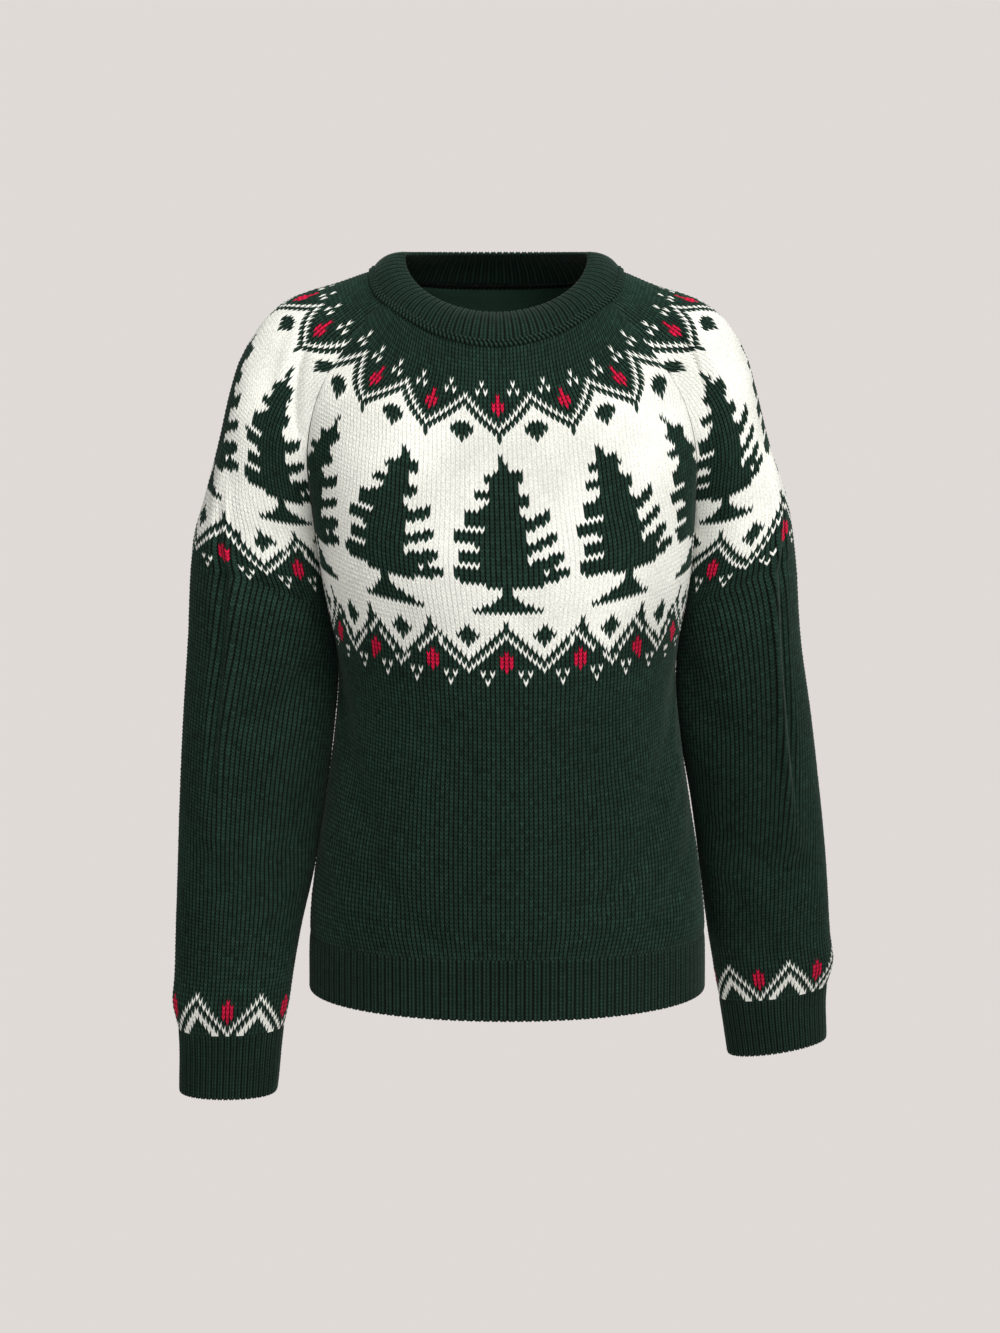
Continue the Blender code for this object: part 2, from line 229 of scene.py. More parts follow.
BACK_RAGLAN = table(
    "course x y z body_turn sleeve_turn climb body_reach sleeve_reach",
    ( 0,  91, 45,  -21, 48,  48,  8, 30, 20),
    (12, 122, 54,  -48, 34,  36, 12, 45, 30),
    (26, 142, 58,  -86, 38,  30, 15, 50, 34),
    (40, 150, 55, -129, 58,  -4, 16, 52, 42),
    (54, 152, 46, -177, 80, -34, 12, 56, 50),
    (66, 150, 34, -221, 91, -56, 10, 62, 58),
    (76, 146, 20, -265, 92, -75, 14, 70, 67),
    (84, 142,  5, -302, 90, -90, 20, 72, 76),
)
BODY_SIDE = table(
    "course x y z climb body_reach",
    ( 84, 142, 5, -302, 22, 72),
    ( 95, 139, 5, -343, 12, 70),
    (108, 143, 5, -393,  5, 70),
    (122, 151, 5, -447,  0, 68),
    (137, 160, 5, -505,  0, 66),
    (151, 165, 5, -560,  0, 66),
    (167, 166, 5, -608,  0, 66),
)
RIDGE = table(
    "course reach left_x left_y left_z right_x right_y right_z",
    (  0, 20, 104,  0,  -14,  98,   0,  -14),
    (  6, 24, 132, -1,  -24, 126,  -1,  -26),
    ( 12, 30, 162, -2,  -33, 155,  -2,  -35),
    ( 19, 33, 183, -3,  -46, 176,  -3,  -48),
    ( 26, 36, 198, -3,  -64, 190,  -3,  -65),
    ( 33, 39, 210, -3,  -85, 200,  -3,  -85),
    ( 40, 43, 217, -3, -106, 206,  -3, -106),
    ( 54, 53, 229, -3, -155, 219,  -2, -155),
    ( 66, 62, 240, -3, -195, 233,  -1, -195),
    ( 76, 70, 249, -2, -225, 239,   1, -225),
    ( 84, 76, 252, -2, -247, 242,   3, -247),
    (104, 73, 256, -2, -311, 248,  11, -311),
    (125, 68, 261, -3, -377, 259,  24, -375),
    (146, 62, 265, -3, -444, 269,  40, -439),
    (167, 57, 268, -4, -511, 278,  56, -503),
    (188, 51, 271, -5, -579, 285,  73, -569),
    (202, 47, 272, -6, -625, 289,  85, -612),
    (207, 44, 270, -6, -641, 287,  89, -628),
    (225, 40, 270, -6, -696, 289, 103, -681),
)
INNER_LINE = table(
    "course climb sleeve_reach left_x left_y left_z right_x right_y right_z",
    ( 84, 25, 76, 137,  5, -302, 148,   5, -302),
    (104,  8, 73, 138,  4, -354, 150,  12, -354),
    (125,  0, 68, 145,  2, -411, 154,  26, -410),
    (146,  0, 62, 154,  0, -467, 163,  41, -466),
    (167,  0, 57, 163, -2, -525, 172,  57, -524),
    (188,  0, 51, 172, -4, -583, 182,  73, -584),
    (202,  0, 47, 179, -5, -625, 190,  85, -625),
    (207,  0, 44, 182, -5, -640, 193,  89, -641),
    (225,  0, 40, 187, -6, -696, 203, 103, -696),
)

# Folds, each along a line from one course and share to another. The first nine of the
# body and the first ten of the sleeves are the solids' own, and the rest are the small
# creases beside them. The body's face is -1 at the front and 1 at the back, and the
# sleeves' side is -1 on the left and 1 on the right.
BODY_FOLDS = table(
    "face course_from share_from course_to share_to width lift",
    (-1,  90,  -0.9, 121, -0.56, 20, -3.5),
    (-1,  92,  0.93, 117,  0.62, 18,   -3),
    (-1, 112,  -0.3, 138, -0.36, 26,  2.5),
    (-1, 118,  0.42, 140,  0.38, 22,    2),
    ( 1,  50,  0.03, 132, -0.02, 42,   -7),
    ( 1,  84, -0.86, 124, -0.48, 20,   -4),
    ( 1,  86,  0.88, 118,  0.52, 18, -3.5),
    ( 1, 108,  0.36, 143,  0.42, 22,    3),
    ( 1, 114, -0.34, 142, -0.38, 24,  2.5),
    (-1,  88, -0.97, 110, -0.74,  7, -1.4),
    (-1, 101,  -0.7, 124, -0.47,  9,  1.1),
    (-1, 118,   0.8, 139,  0.33,  9, -2.2),
    (-1, 114,  0.84, 136,  0.45,  8,  1.8),
    (-1, 126,   0.9, 146,  0.55, 10, -1.8),
    (-1, 133,  -0.5, 146, -0.28, 10,   -2),
    (-1, 128, -0.86, 141, -0.62, 11,  1.8),
    (-1,  95,  0.98, 108,   0.8,  6,  1.2),
    (-1, 144, -0.95, 145,  0.95, 15,  1.6),
    ( 1,  90, -0.97, 113,  -0.7,  7, -1.5),
    ( 1,  96,  0.95, 121,  0.66,  8,  1.3),
    ( 1, 122, -0.82, 140,  -0.4, 10, -1.5),
    ( 1, 126,  0.86, 144,  0.48,  9, -1.3),
    ( 1,  70,  -0.3, 100, -0.16, 12,  1.4),
    ( 1,  66,  0.34, 104,   0.2, 11,  1.3),
    ( 1, 144, -0.95, 145,  0.95, 15,  1.8),
)
SLEEVE_FOLDS = table(
    "side course_from share_from course_to share_to width lift",
    (-1,  56,   -0.3, 152,  -0.33,  12,    3),
    (-1,  66,   0.36, 146,   0.34,  13,  2.5),
    (-1,  96,  -0.92, 118,  -0.52,  16, -3.5),
    (-1, 132,   0.85, 150,    0.5,  16,   -3),
    (-1, 176,  -0.62, 196,   -0.5,  14,   -2),
    ( 1,  58,  -0.28, 160,  -0.34,  12,  3.5),
    ( 1,  68,   0.34, 150,    0.3,  13,  2.5),
    ( 1, 100,  -0.88, 126,  -0.56,  17,   -3),
    ( 1, 140,    0.8, 156,   0.46,  16,   -3),
    ( 1, 172,   -0.7, 192,  -0.54,  14, -2.5),
    (-1,  58, -0.385, 150, -0.375, 3.8,  3.8),
    (-1,  60,  -0.33, 148, -0.325, 4.5, -4.6),
    (-1,  16,  -0.66,  36,  -0.93, 6.5, -4.2),
    (-1,  15,   -0.5,  40,  -0.78,  10,  2.2),
    (-1,  88,  -0.97, 104,   -0.7,   8, -1.8),
    (-1, 150,   -0.8, 168,  -0.42,  10, -1.6),
    (-1, 160,  -0.88, 180,  -0.55,   9,  1.4),
    (-1, 186,  -0.86, 198,   -0.6,   8,  1.2),
    (-1, 199,  -0.95, 200,   0.95,  11,  1.4),
    (-1,  88,   0.96, 112,    0.6,   9,   -2),
    (-1, 160,    0.8, 182,   0.46,  10,  1.4),
    (-1, 104,    0.1, 140,   0.16,  14, -1.3),
    ( 1,  58,  -0.33, 158,  -0.36,   4,  3.8),
    ( 1,  60,  -0.28, 156,  -0.31, 4.5, -4.4),
    ( 1,  15,  -0.68,  40,  -0.95, 6.5,   -5),
    ( 1,  14,   -0.5,  46,   -0.8,  10,  2.8),
    ( 1,  90,  -0.95, 108,  -0.64,   8, -1.8),
    ( 1, 146,  -0.84, 166,  -0.46,  10, -1.7),
    ( 1, 156,   -0.9, 178,  -0.52,   9,  1.5),
    ( 1, 184,   -0.9, 197,  -0.58,   8,  1.3),
    ( 1, 199,  -0.95, 200,   0.95,  11,  1.4),
    ( 1,  92,   0.94, 116,   0.62,   9,   -2),
    ( 1, 164,   0.84, 184,    0.5,  10,  1.4),
    ( 1, 110,   0.08, 146,   0.14,  14, -1.3),
)
# How far the sleeves' inner seams come out below the underarm, where they lie against the
# body. Below zero they draw in.
SWELL = table(
    "course left right",
    (  0,   0,    0),
    ( 84,   0,    0),
    ( 94, 2.2,  1.6),
    (104,   3,  2.8),
    (114, 3.4,  2.6),
    (122,   4,  0.8),
    (132, 4.5,   -1),
    (150, 4.9, -1.5),
    (160, 4.6, -1.5),
    (178, 0.8, -0.6),
    (210,   0,    0),
)
SWELL_WIDTH = 30

# Creases narrower than CREASE_WIDTH fade out over CREASE_FADE at either end. Folds are
# placed on halves of a course that count as so wide.
CREASE_WIDTH = 5
CREASE_FADE = 70
BODY_HALF_WIDTH = 225
SLEEVE_HALF_WIDTH = 175

# Folds end at the seams, which they near by this power of the share. Below the underarm
# the body's and the sleeves' courses meet the seam turned by so many degrees.
FOLD_POWER = 8
SIDE_TURN = 90.0

# Points of the fine curves that the even ones are read from, and how near the ends of a
# closed course are to each other.
CURVE_POINTS = 257
EDGE_POINTS = 577
CLOSED_GAP = 0.001

# The neckband's upper edge in the middle of the front, at the side and in the middle of
# the back, and how far the band bulges.
BAND_FRONT = (0.0, -75.0, -47.0)
BAND_SIDE = (74.0, -3.0, 1.0)
BAND_BACK = (0.0, 55.0, 4.0)
BAND_BULGE = 5.0


def along(columns, name, course, key="course"):
    """Smooth value of a column at a course."""
    knots = columns[key]
    values = columns[name]
    slopes = np.gradient(values, knots)
    place = int(np.clip(np.searchsorted(knots, course, side="right") - 1, 0, len(knots) - 2))
    span = knots[place + 1] - knots[place]
    share = (course - knots[place]) / span
    rest = 1.0 - share
    level = values[place] * rest**2 * (1 + 2 * share) + values[place + 1] * share**2 * (3 - 2 * share)
    swing = share * rest * span * (slopes[place] * rest - slopes[place + 1] * share)
    return float(level + swing)


def point(columns, course, side):
    """Where a key line stands at a course, on the left for side -1 and the right for 1."""
    x, y, z = (along(columns, name, course) for name in "xyz")
    return np.array([side * x, y, z])


def lean(course):
    """Sideways lean of the body at a course."""
    return np.array([along(LEAN, "x", course), 0.0, 0.0])


def heading(turn, climb, side):
    """Direction out from the middle, turned towards the back and climbing, in degrees."""
    turn, climb = math.radians(turn), math.radians(climb)
    level = np.array([side * math.cos(turn), math.sin(turn), 0.0]) * math.cos(climb)
    return level + (0.0, 0.0, math.sin(climb))


def spaced(curve, count):
    """Points at equal lengths along a line of points."""
    steps = np.linalg.norm(np.diff(curve, axis=0), axis=1)
    length = np.concatenate([[0.0], np.cumsum(steps)])
    wanted = np.linspace(0.0, length[-1], count + 1)
    return np.stack([np.interp(wanted, length, curve[:, axis]) for axis in range(3)], axis=1)


def evenly_along(start, start_pull, end_pull, end, count):
    """Points at equal lengths along a cubic curve."""
    fine = np.linspace(0.0, 1.0, CURVE_POINTS)[:, None]
    rest = 1.0 - fine
    curve = start * rest**3 + 3 * start_pull * rest**2 * fine
    curve += 3 * end_pull * rest * fine**2 + end * fine**3
    return spaced(curve, count)


def fold_lift(folds, owner, key, course, shares, half_width):
    """How far the folds of one face or side raise the points of a course."""
    lift = np.zeros(len(shares))
    here = np.stack([np.full(len(shares), course * COURSE_HEIGHT), shares * half_width], axis=1)
    for place in np.flatnonzero(folds[owner] == key):
        fold = {name: values[place] for name, values in folds.items()}
        start = np.array([fold["course_from"] * COURSE_HEIGHT, fold["share_from"] * half_width])
        run = np.array([fold["course_to"] * COURSE_HEIGHT, fold["share_to"] * half_width]) - start
        along_it = np.clip((here - start) @ run / (run @ run), 0.0, 1.0)
        away = np.linalg.norm(here - start - along_it[:, None] * run, axis=1)
        depth = fold["lift"] * np.exp(-((away / fold["width"]) ** 2))
        if fold["width"] < CREASE_WIDTH:
            from_end = np.minimum(along_it, 1.0 - along_it) * np.linalg.norm(run)
            depth *= np.minimum(1.0, from_end / CREASE_FADE)
        lift += depth
    return lift


def raised(points, axis, lift):
    """Points moved straight out from an upright axis."""
    outwards = (points - axis) * (1.0, 1.0, 0.0)
    outwards /= np.linalg.norm(outwards, axis=1)[:, None]
    return points + outwards * lift[:, None]


def body_half(course, side, face):
    """One half of a body course, from the middle line out to the raglan or side seam."""
    middle = FRONT_LINE if face == "front" else BACK_LINE
    towards_back = 1 if face == "front" else -1
    if course >= UNDERARM:
        edge = BODY_SIDE
        turn = SIDE_TURN
    else:
        edge = FRONT_RAGLAN if face == "front" else BACK_RAGLAN
        turn = along(edge, "body_turn", course)
    start = np.array([0.0, along(middle, "y", course), along(middle, "z", course)]) + lean(course)
    end = point(edge, course, side) + lean(course)
    outwards = np.array([side * along(middle, "reach", course), 0.0, 0.0])
    arriving = heading(towards_back * turn, along(edge, "climb", course), side)
    pull = end - arriving * along(edge, "body_reach", course)
    half = evenly_along(start, start + outwards, pull, end, HALF_COLUMNS)
    shares = np.linspace(0.0, side, HALF_COLUMNS + 1)
    lift = fold_lift(BODY_FOLDS, "face", -towards_back, course, shares, BODY_HALF_WIDTH)
    return raised(half, lean(course), lift * (1.0 - shares**FOLD_POWER))


def sleeve_half(course, side, face):
    """One half of a sleeve course, from its seam at the body out to the ridge."""
    ridge = of_side(RIDGE, side)
    towards_back = 1 if face == "front" else -1
    if course >= UNDERARM:
        edge = of_side(INNER_LINE, side)
        start = point(edge, course, side)
        turn = -SIDE_TURN
    else:
        edge = FRONT_RAGLAN if face == "front" else BACK_RAGLAN
        start = point(edge, course, side) + lean(course)
        turn = along(edge, "sleeve_turn", course)
    end = point(ridge, course, side)
    leaving = heading(towards_back * turn, along(edge, "climb", course), side)
    forward = np.array([0.0, -towards_back * along(ridge, "reach", course), 0.0])
    pull = start + leaving * along(edge, "sleeve_reach", course)
    half = evenly_along(start, pull, end + forward, end, HALF_COLUMNS)
    shares = np.linspace(-towards_back, 0.0, HALF_COLUMNS + 1)
    lift = fold_lift(SLEEVE_FOLDS, "side", side, course, shares, SLEEVE_HALF_WIDTH)
    axis = np.array([(start[0] + end[0]) / 2, end[1], 0.0])
    from_seam = (1.0 - np.abs(shares)) * SLEEVE_HALF_WIDTH / SWELL_WIDTH
    swell = along(SWELL, "left" if side < 0 else "right", course) * np.exp(-(from_seam**2))
    return raised(half, axis, lift * (1.0 - shares**FOLD_POWER) + swell)


def body_course(course, face):
    """A whole body course across one face, from the left seam to the right seam."""
    return np.vstack([body_half(course, -1, face)[::-1], body_half(course, 1, face)[1:]])


def sleeve_course(course, side):
    """A whole sleeve course, from the front seam over the ridge to the back seam."""
    return np.vstack([sleeve_half(course, side, "front"), sleeve_half(course, side, "back")[::-1][1:]])


def neck_seam(count):
    """The closed neck seam, from the middle of the front round by the right."""
    right = [body_half(0, 1, "front"), sleeve_half(0, 1, "front")]
    right += [sleeve_half(0, 1, "back")[::-1], body_half(0, 1, "back")[::-1]]
    left = [body_half(0, -1, "back"), sleeve_half(0, -1, "back")]
    left += [sleeve_half(0, -1, "front")[::-1], body_half(0, -1, "front")[::-1]]
    return spaced(np.vstack(right + left), count)


def band_edge(count):
    """The closed upper edge of the neckband, from the middle of the front round by the right."""
    turn = np.linspace(0.0, 2 * math.pi, EDGE_POINTS)
    depth = np.where(np.cos(turn) > 0, BAND_FRONT[1] - BAND_SIDE[1], BAND_SIDE[1] - BAND_BACK[1])
    height = np.where(np.cos(turn) > 0, BAND_FRONT[2] - BAND_SIDE[2], BAND_SIDE[2] - BAND_BACK[2])
    x = BAND_SIDE[0] * np.sin(turn) + along(LEAN, "x", 0)
    y = BAND_SIDE[1] + depth * np.cos(turn)
    z = BAND_SIDE[2] + height * np.cos(turn)
    return spaced(np.stack([x, y, z], axis=1), count)


class Form:
    """A piece's surface: a line of points for each whole course, with shares from -1 to 1."""

    def __init__(self, lines, flipped):
        self.points = np.stack(lines)
        self.flipped = flipped
        down = np.gradient(self.points, axis=0)
        across = np.gradient(self.points, axis=1)
        outwards = np.cross(down, across) * (-1.0 if flipped else 1.0)
        self.normals = outwards / np.linalg.norm(outwards, axis=2, keepdims=True)
        closed = np.linalg.norm(self.points[:, 0] - self.points[:, -1], axis=1) < CLOSED_GAP
        shared = self.normals[closed, 0] + self.normals[closed, -1]
        shared /= np.linalg.norm(shared, axis=1, keepdims=True)
        self.normals[closed, 0] = self.normals[closed, -1] = shared
        self.downwards = down / np.linalg.norm(down, axis=2, keepdims=True)
        self.half_widths = np.linalg.norm(np.diff(self.points, axis=1), axis=2).sum(axis=1) / 2

    def read(self, grid, course, share):
        """Values of a grid at courses and shares between its own points."""
        last_row, last_column = grid.shape[0] - 1, grid.shape[1] - 1
        course, share = np.broadcast_arrays(course, share)
        row = np.clip(course, 0, last_row)
        column = (np.clip(share, -1, 1) + 1) / 2 * last_column
        upper = np.minimum(row.astype(int), last_row - 1)
        left = np.minimum(column.astype(int), last_column - 1)
        down = (row - upper)[..., None]
        right = (column - left)[..., None]
        above = grid[upper, left] * (1 - right) + grid[upper, left + 1] * right
        below = grid[upper + 1, left] * (1 - right) + grid[upper + 1, left + 1] * right
        return above * (1 - down) + below * down

    def axes(self, course, share):
        """Points on the surface, with its normals and its downward directions there."""
        return [self.read(grid, course, share) for grid in (self.points, self.normals, self.downwards)]

    def half_width(self, course):
        """Length of half a course."""
        return np.interp(course, np.arange(len(self.half_widths)), self.half_widths)

    def lifted(self, course, share, lift):
        """Points on the surface, raised along its normals."""
        surface, outwards, _ = self.axes(course, share)
        return surface + outwards * lift[..., None]


def body_form(face):
    """Surface of the front or back with its hem."""
    return Form([body_course(course, face) for course in range(HEM_EDGE + 1)], face == "back")


def sleeve_form(side):
    """Surface of a sleeve with its cuff."""
    return Form([sleeve_course(course, side) for course in range(CUFF_EDGE + 1)], side < 0)


def band_form():
    """Surface of the neckband, from the neck seam to its upper edge."""
    count = 4 * BAND_RIBS
    seam = neck_seam(count)
    edge = band_edge(count)
    rise = edge - seam
    round_band = np.gradient(edge, axis=0)
    round_band[0] = round_band[-1] = edge[1] - edge[-2]
    outwards = np.cross(round_band, rise)
    outwards /= np.linalg.norm(outwards, axis=1)[:, None]
    lines = []
    for share in np.linspace(0.0, 1.0, BAND_ROWS + 1):
        lines.append(seam + rise * share + outwards * (4 * share * (1 - share) * BAND_BULGE))
    return Form(lines, True)


# ---- Where each stitch lies ---------------------------------------------------------

# For each row of stitches: the course it lies on, the stitches in half a row, how much
# the outer ones are squeezed, the share of the middle stitch, and how many courses the
# row sinks towards the sides.
BODY_GAUGE = table(
    "row course stitches squeeze centre sink",
    (  0,    0,   40, 0.13, 0, -4.5),
    ( 10,   10,   44, 0.13, 0, -4.8),
    ( 13,   13,   44, 0.08, 0, -4.5),
    ( 16,   16,   43, 0.06, 0, -3.6),
    ( 19,   19, 42.4, 0.04, 0, -2.4),
    ( 21, 20.8, 42.2, 0.05, 0, -1.8),
    ( 24, 23.8,   43, 0.07, 0, -0.6),
    ( 27, 26.7,   44, 0.09, 0,  0.4),
    ( 34, 33.6, 45.3, 0.12, 0,    0),
    ( 41, 40.5, 46.2, 0.15, 0,    0),
    ( 55, 54.4, 46.5, 0.15, 0,  0.5),
    ( 61, 60.3, 48.5, 0.16, 0,  1.2),
    ( 66, 65.4, 51.5, 0.18, 0,  2.4),
    ( 72, 71.5, 55.5,  0.2, 0,  3.5),
    ( 76, 75.8, 57.2, 0.19, 0,  2.9),
    ( 80, 79.8,   58, 0.17, 0,    2),
    ( 86,   86, 58.8, 0.12, 0,  1.4),
    (100,  100, 58.3, 0.08, 0,  0.4),
    (115,  115,   58, 0.06, 0,    0),
    (130,  130, 58.5, 0.04, 0,    0),
    (142,  142, 60.5, 0.02, 0,    0),
    (151,  151,   64,    0, 0,    0),
)

# The same for the sleeves, where a squeeze below zero widens the outer stitches. The
# rows climb towards the front seam, and on the right sleeve from there towards the ridge
# too, so their sink and climb are below zero.
SLEEVE_GAUGE = table(
    "row squeeze left_course left_stitches left_centre left_sink "
    "right_course right_stitches right_centre right_sink right_climb",
    (  -2,  -0.6,     0,   32,   -0.2,    0,     0,   32,   -0.2,    0,    0),
    (   4,  -0.8,   2.8,   36,   -0.2,    0,   2.8,   36,   -0.2,    0,    0),
    (  11,    -1,   7.9,   40,  -0.21,    0,   8.1,   40,   -0.2,    0,    0),
    (14.5, -0.95,  11.1, 39.5, -0.195,    0,  11.2, 39.5,  -0.19,    0,    0),
    (17.5,  -0.5,  13.8, 34.5,  -0.15,    0,  13.8, 34.5,  -0.13,    0,    0),
    (  21,  -0.1,    17,   30,   -0.1,    0,  17.2,   29,  -0.07,    0,    0),
    (  24,     0,    20, 30.5,  -0.09,    0,  20.2, 29.5,  -0.04,    0,    0),
    (  27,     0,  23.3,   32,   -0.1,    0,  23.3, 30.5,  -0.03,    0,    0),
    (  34,     0,    31,   36,  -0.12, -0.2,    31, 32.5,  -0.03, -0.2, -0.3),
    (  45,     0,  42.2, 39.5,  -0.14, -0.5,  42.2, 33.5,  -0.04, -0.5, -0.8),
    (  65,     0,  62.6,   39,  -0.15,   -3,  62.2, 33.5,  -0.05,   -3, -3.6),
    (  71,     0,  69.5,   38, -0.165,   -5,  69.2, 33.7, -0.045, -4.6, -4.6),
    (  77,     0,  76.6, 38.5,  -0.15, -6.5,  76.4,   34,  -0.05, -6.5, -5.4),
    (  84,     0,    84, 40.5,  -0.15, -6.5,    84,   36,  -0.04, -6.5,   -5),
    ( 100,     0,   100,   44,  -0.14,   -3,   100, 39.5,  -0.04,   -3,   -2),
    ( 120,     0,   120, 45.5,  -0.12,    0,   120,   42,  -0.07,    0,    0),
    ( 150,     0,   150,   44,  -0.11,    0,   150,   43,  -0.14,    0,    0),
    ( 175,     0, 172.5, 41.5,  -0.11,    0, 172.5,   43,   -0.2,    0,    0),
    ( 197,     0, 194.5,   41,  -0.11,    0, 194.5,   43,  -0.24,    0,    0),
    ( 207,     0,   207,   41,  -0.11,    0,   207,   43,  -0.24,    0,    0),
)

# The trees and the chest's zigzags have their own gauge, which the stitches that lie
# under them follow more smoothly. In other rows the chart keeps to the stitches.
BODY_CHART = table(
    "row stitches squeeze centre",
    (27, 50.8,  0.2, 0),
    (34, 48.5, 0.17, 0),
    (41, 46.5, 0.15, 0),
    (55,   46, 0.15, 0),
    (61, 46.5, 0.15, 0),
    (66,   51, 0.22, 0),
    (72, 57.5, 0.28, 0),
    (76, 58.5, 0.23, 0),
    (80,   58,  0.2, 0),
    (83,   58, 0.17, 0),
)
LEFT_CHART = table(
    "row stitches squeeze centre",
    (27,   43, 0,  -0.12),
    (45, 41.5, 0,  -0.14),
    (60, 39.5, 0,  -0.15),
    (66,   38, 0,  -0.15),
    (71, 37.2, 0, -0.175),
    (77,   38, 0,  -0.15),
    (83,   40, 0,  -0.15),
)
RIGHT_CHART = table(
    "row stitches squeeze centre",
    (27, 33.5, 0,  -0.02),
    (45, 33.5, 0, -0.045),
    (60, 33.5, 0,  -0.05),
    (71, 33.7, 0, -0.045),
    (77,   34, 0,  -0.05),
    (83, 35.6, 0,  -0.04),
)
SLEEVE_TOP_ROW = -2
CHART_LEAD = 3
WIDEST_ROW = 1.45
SOLVER_STEPS = 8
ROW_STEP = 0.5

# How a sleeve's sink and climb grow: the share where each starts, the span until it is
# full, the most it grows to, and how softly.
SINK_RAMP = (0.45, 0.45, 1.2)
CLIMB_RAMP = (-0.62, 0.4, 1.0)
RAMP_POWER = 1.5


def ramp(share, start, span, most):
    """A soft rise from 0 at a share to 1 after the span, and on to the most."""
    return np.clip((share - start) / span, 0.0, most) ** RAMP_POWER


def body_tilt(share):
    """How much of the sink a body row has at a share."""
    return np.abs(share) ** 3


def sleeve_tilt(share):
    """How much of the sink a sleeve row has at a share: all of it near the front seam."""
    return ramp(-share, *SINK_RAMP)


def ridge_tilt(share):
    """How much of the climb a sleeve row has at a share: all of it from the front on."""
    return ramp(share, *CLIMB_RAMP)


def cubed(value, amount):
    """A value and so much of its cube."""
    return value + amount * value**3


def uncubed(value, amount):
    """The value whose sum with so much of its cube is given."""
    root = value
    for _ in range(SOLVER_STEPS):
        root = root - (cubed(root, amount) - value) / (1 + 3 * amount * root**2)
    return root


class Gauge:
    """Turns rows and stitches into courses and shares, and shares into stitches of the chart."""

    def __init__(self, columns, own_chart, tilts):
        self.rows = np.arange(columns["row"][0], columns["row"][-1] + ROW_STEP / 2, ROW_STEP)
        self.curves = {name: [along(columns, name, row, "row") for row in self.rows] for name in columns}
        self.own_chart = own_chart
        self.tilts = {name: tilt for name, tilt in tilts.items() if name in columns}

    def read(self, name, row):
        return np.interp(row, self.rows, self.curves[name])

    def place(self, row, stitch):
        """Course and share of a place that is so many rows down and stitches from the middle."""
        squeeze = self.read("squeeze", row)
        wanted = cubed(stitch / self.read("stitches", row), np.maximum(-squeeze, 0))
        share = uncubed(wanted, np.maximum(squeeze, 0)) + self.read("centre", row)
        course = self.read("course", row)
        for name, tilt in self.tilts.items():
            course = course + self.read(name, row) * tilt(np.clip(share, -1, 1))
        return np.clip(course, self.curves["course"][0], self.curves["course"][-1]), share

    def charted(self, row, share):
        """The chart's stitch at a share of a row."""
        from_chart = self.own_chart["row"]
        own = (row > from_chart[0] - CHART_LEAD) & (row < from_chart[-1])

        def column(name):
            return np.where(own, np.interp(row, from_chart, self.own_chart[name]), self.read(name, row))

        squeeze = column("squeeze")
        wanted = cubed(share - column("centre"), np.maximum(squeeze, 0))
        return np.rint(uncubed(wanted, np.maximum(-squeeze, 0)) * column("stitches"))

    def widest(self):
        """Stitches enough to cover half of any row, from the middle stitch."""
        return int(max(self.curves["stitches"]) * WIDEST_ROW)


# ---- Charts -------------------------------------------------------------------------

# Branches of a fir tree: the row where each leaves the trunk and the row of its tip,
# counted from the top of the tree, its reach in stitches to the left (below zero) or the
# right, its thickness in rows, and how late along it the tip turns up.
BRANCHES = table(
    "root tip reach thick bend",
    ( 5.6,  5.5, -3.6, 2.6,   1),
    (10.2,  9.4, -5.7, 3.6,   1),
    (14.6, 15.6, -8.4,   6,   1),
    (  21,   20, -9.5,   5,   1),
    (25.2, 24.9, -8.6, 4.4,   1),
    (  30, 29.4, -9.8, 5.6, 1.2),
    ( 5.4,    5,  3.5, 4.6,   1),
    (12.4, 10.8,  4.8, 4.4, 1.3),
    (18.4,   15,  8.8, 4.6, 1.6),
    (23.8, 20.2,  9.8, 3.8, 1.8),
    (28.6, 25.2, 10.8,   5,   2),
    (  31, 29.2, 11.9,   4, 2.6),
)

# The same tree's stem and crown: half width in stitches at rows from its top, and how
# far its middle stands to the right.
CROWN = table(
    "row half middle",
    (   0, 0.4, -0.5),
    ( 1.4, 0.4, -0.5),
    ( 1.6, 1.1,    0),
    ( 3.4, 1.3,    0),
    (   5, 2.6,    0),
    (   9, 2.9,    0),
    (  13, 3.6, -0.2),
    (  20, 4.2, -0.4),
    (  26, 4.5, -0.5),
    (  31, 4.8,    0),
    (31.4, 4.8,    0),
    (31.6, 0.9,    0),
    (34.4, 0.9,    0),
    (34.6, 1.9,    0),
    (  36, 3.4,    0),
    (  37, 5.4,    0),
    (  38, 7.4,    0),
)
FIR_ROWS = 39
FIR_TOP_ROW = 27
FIR_SPACING = 24
FIR_MIDDLE = 0.5
BRANCH_TAPER = 0.5


def draw_fir():
    """Which stitches of the repeat belong to the tree, its middle in the middle column."""
    row = np.arange(FIR_ROWS)[:, None].astype(float)
    across = np.arange(-FIR_SPACING, FIR_SPACING)[None, :] - FIR_MIDDLE
    half = np.interp(row, CROWN["row"], CROWN["half"])
    middle = np.interp(row, CROWN["row"], CROWN["middle"])
    tree = np.abs(across - middle) <= half
    for place in range(len(BRANCHES["root"])):
        branch = {name: values[place] for name, values in BRANCHES.items()}
        along_it = np.clip(across / branch["reach"], 0, 1)
        centre = branch["root"] + (branch["tip"] - branch["root"]) * along_it ** branch["bend"]
        thick = branch["thick"] * (1 - BRANCH_TAPER * along_it)
        on_side = (across * branch["reach"] > 0) & (np.abs(across) <= np.abs(branch["reach"]))
        tree = tree | (on_side & (np.abs(row - centre) < thick / 2))
    half_way = FIR_SPACING // 2
    repeat = tree[:, half_way:-half_way].copy()
    repeat[:, half_way:] |= tree[:, :half_way]
    repeat[:, :half_way] |= tree[:, -half_way:]
    return repeat


FIR = draw_fir()

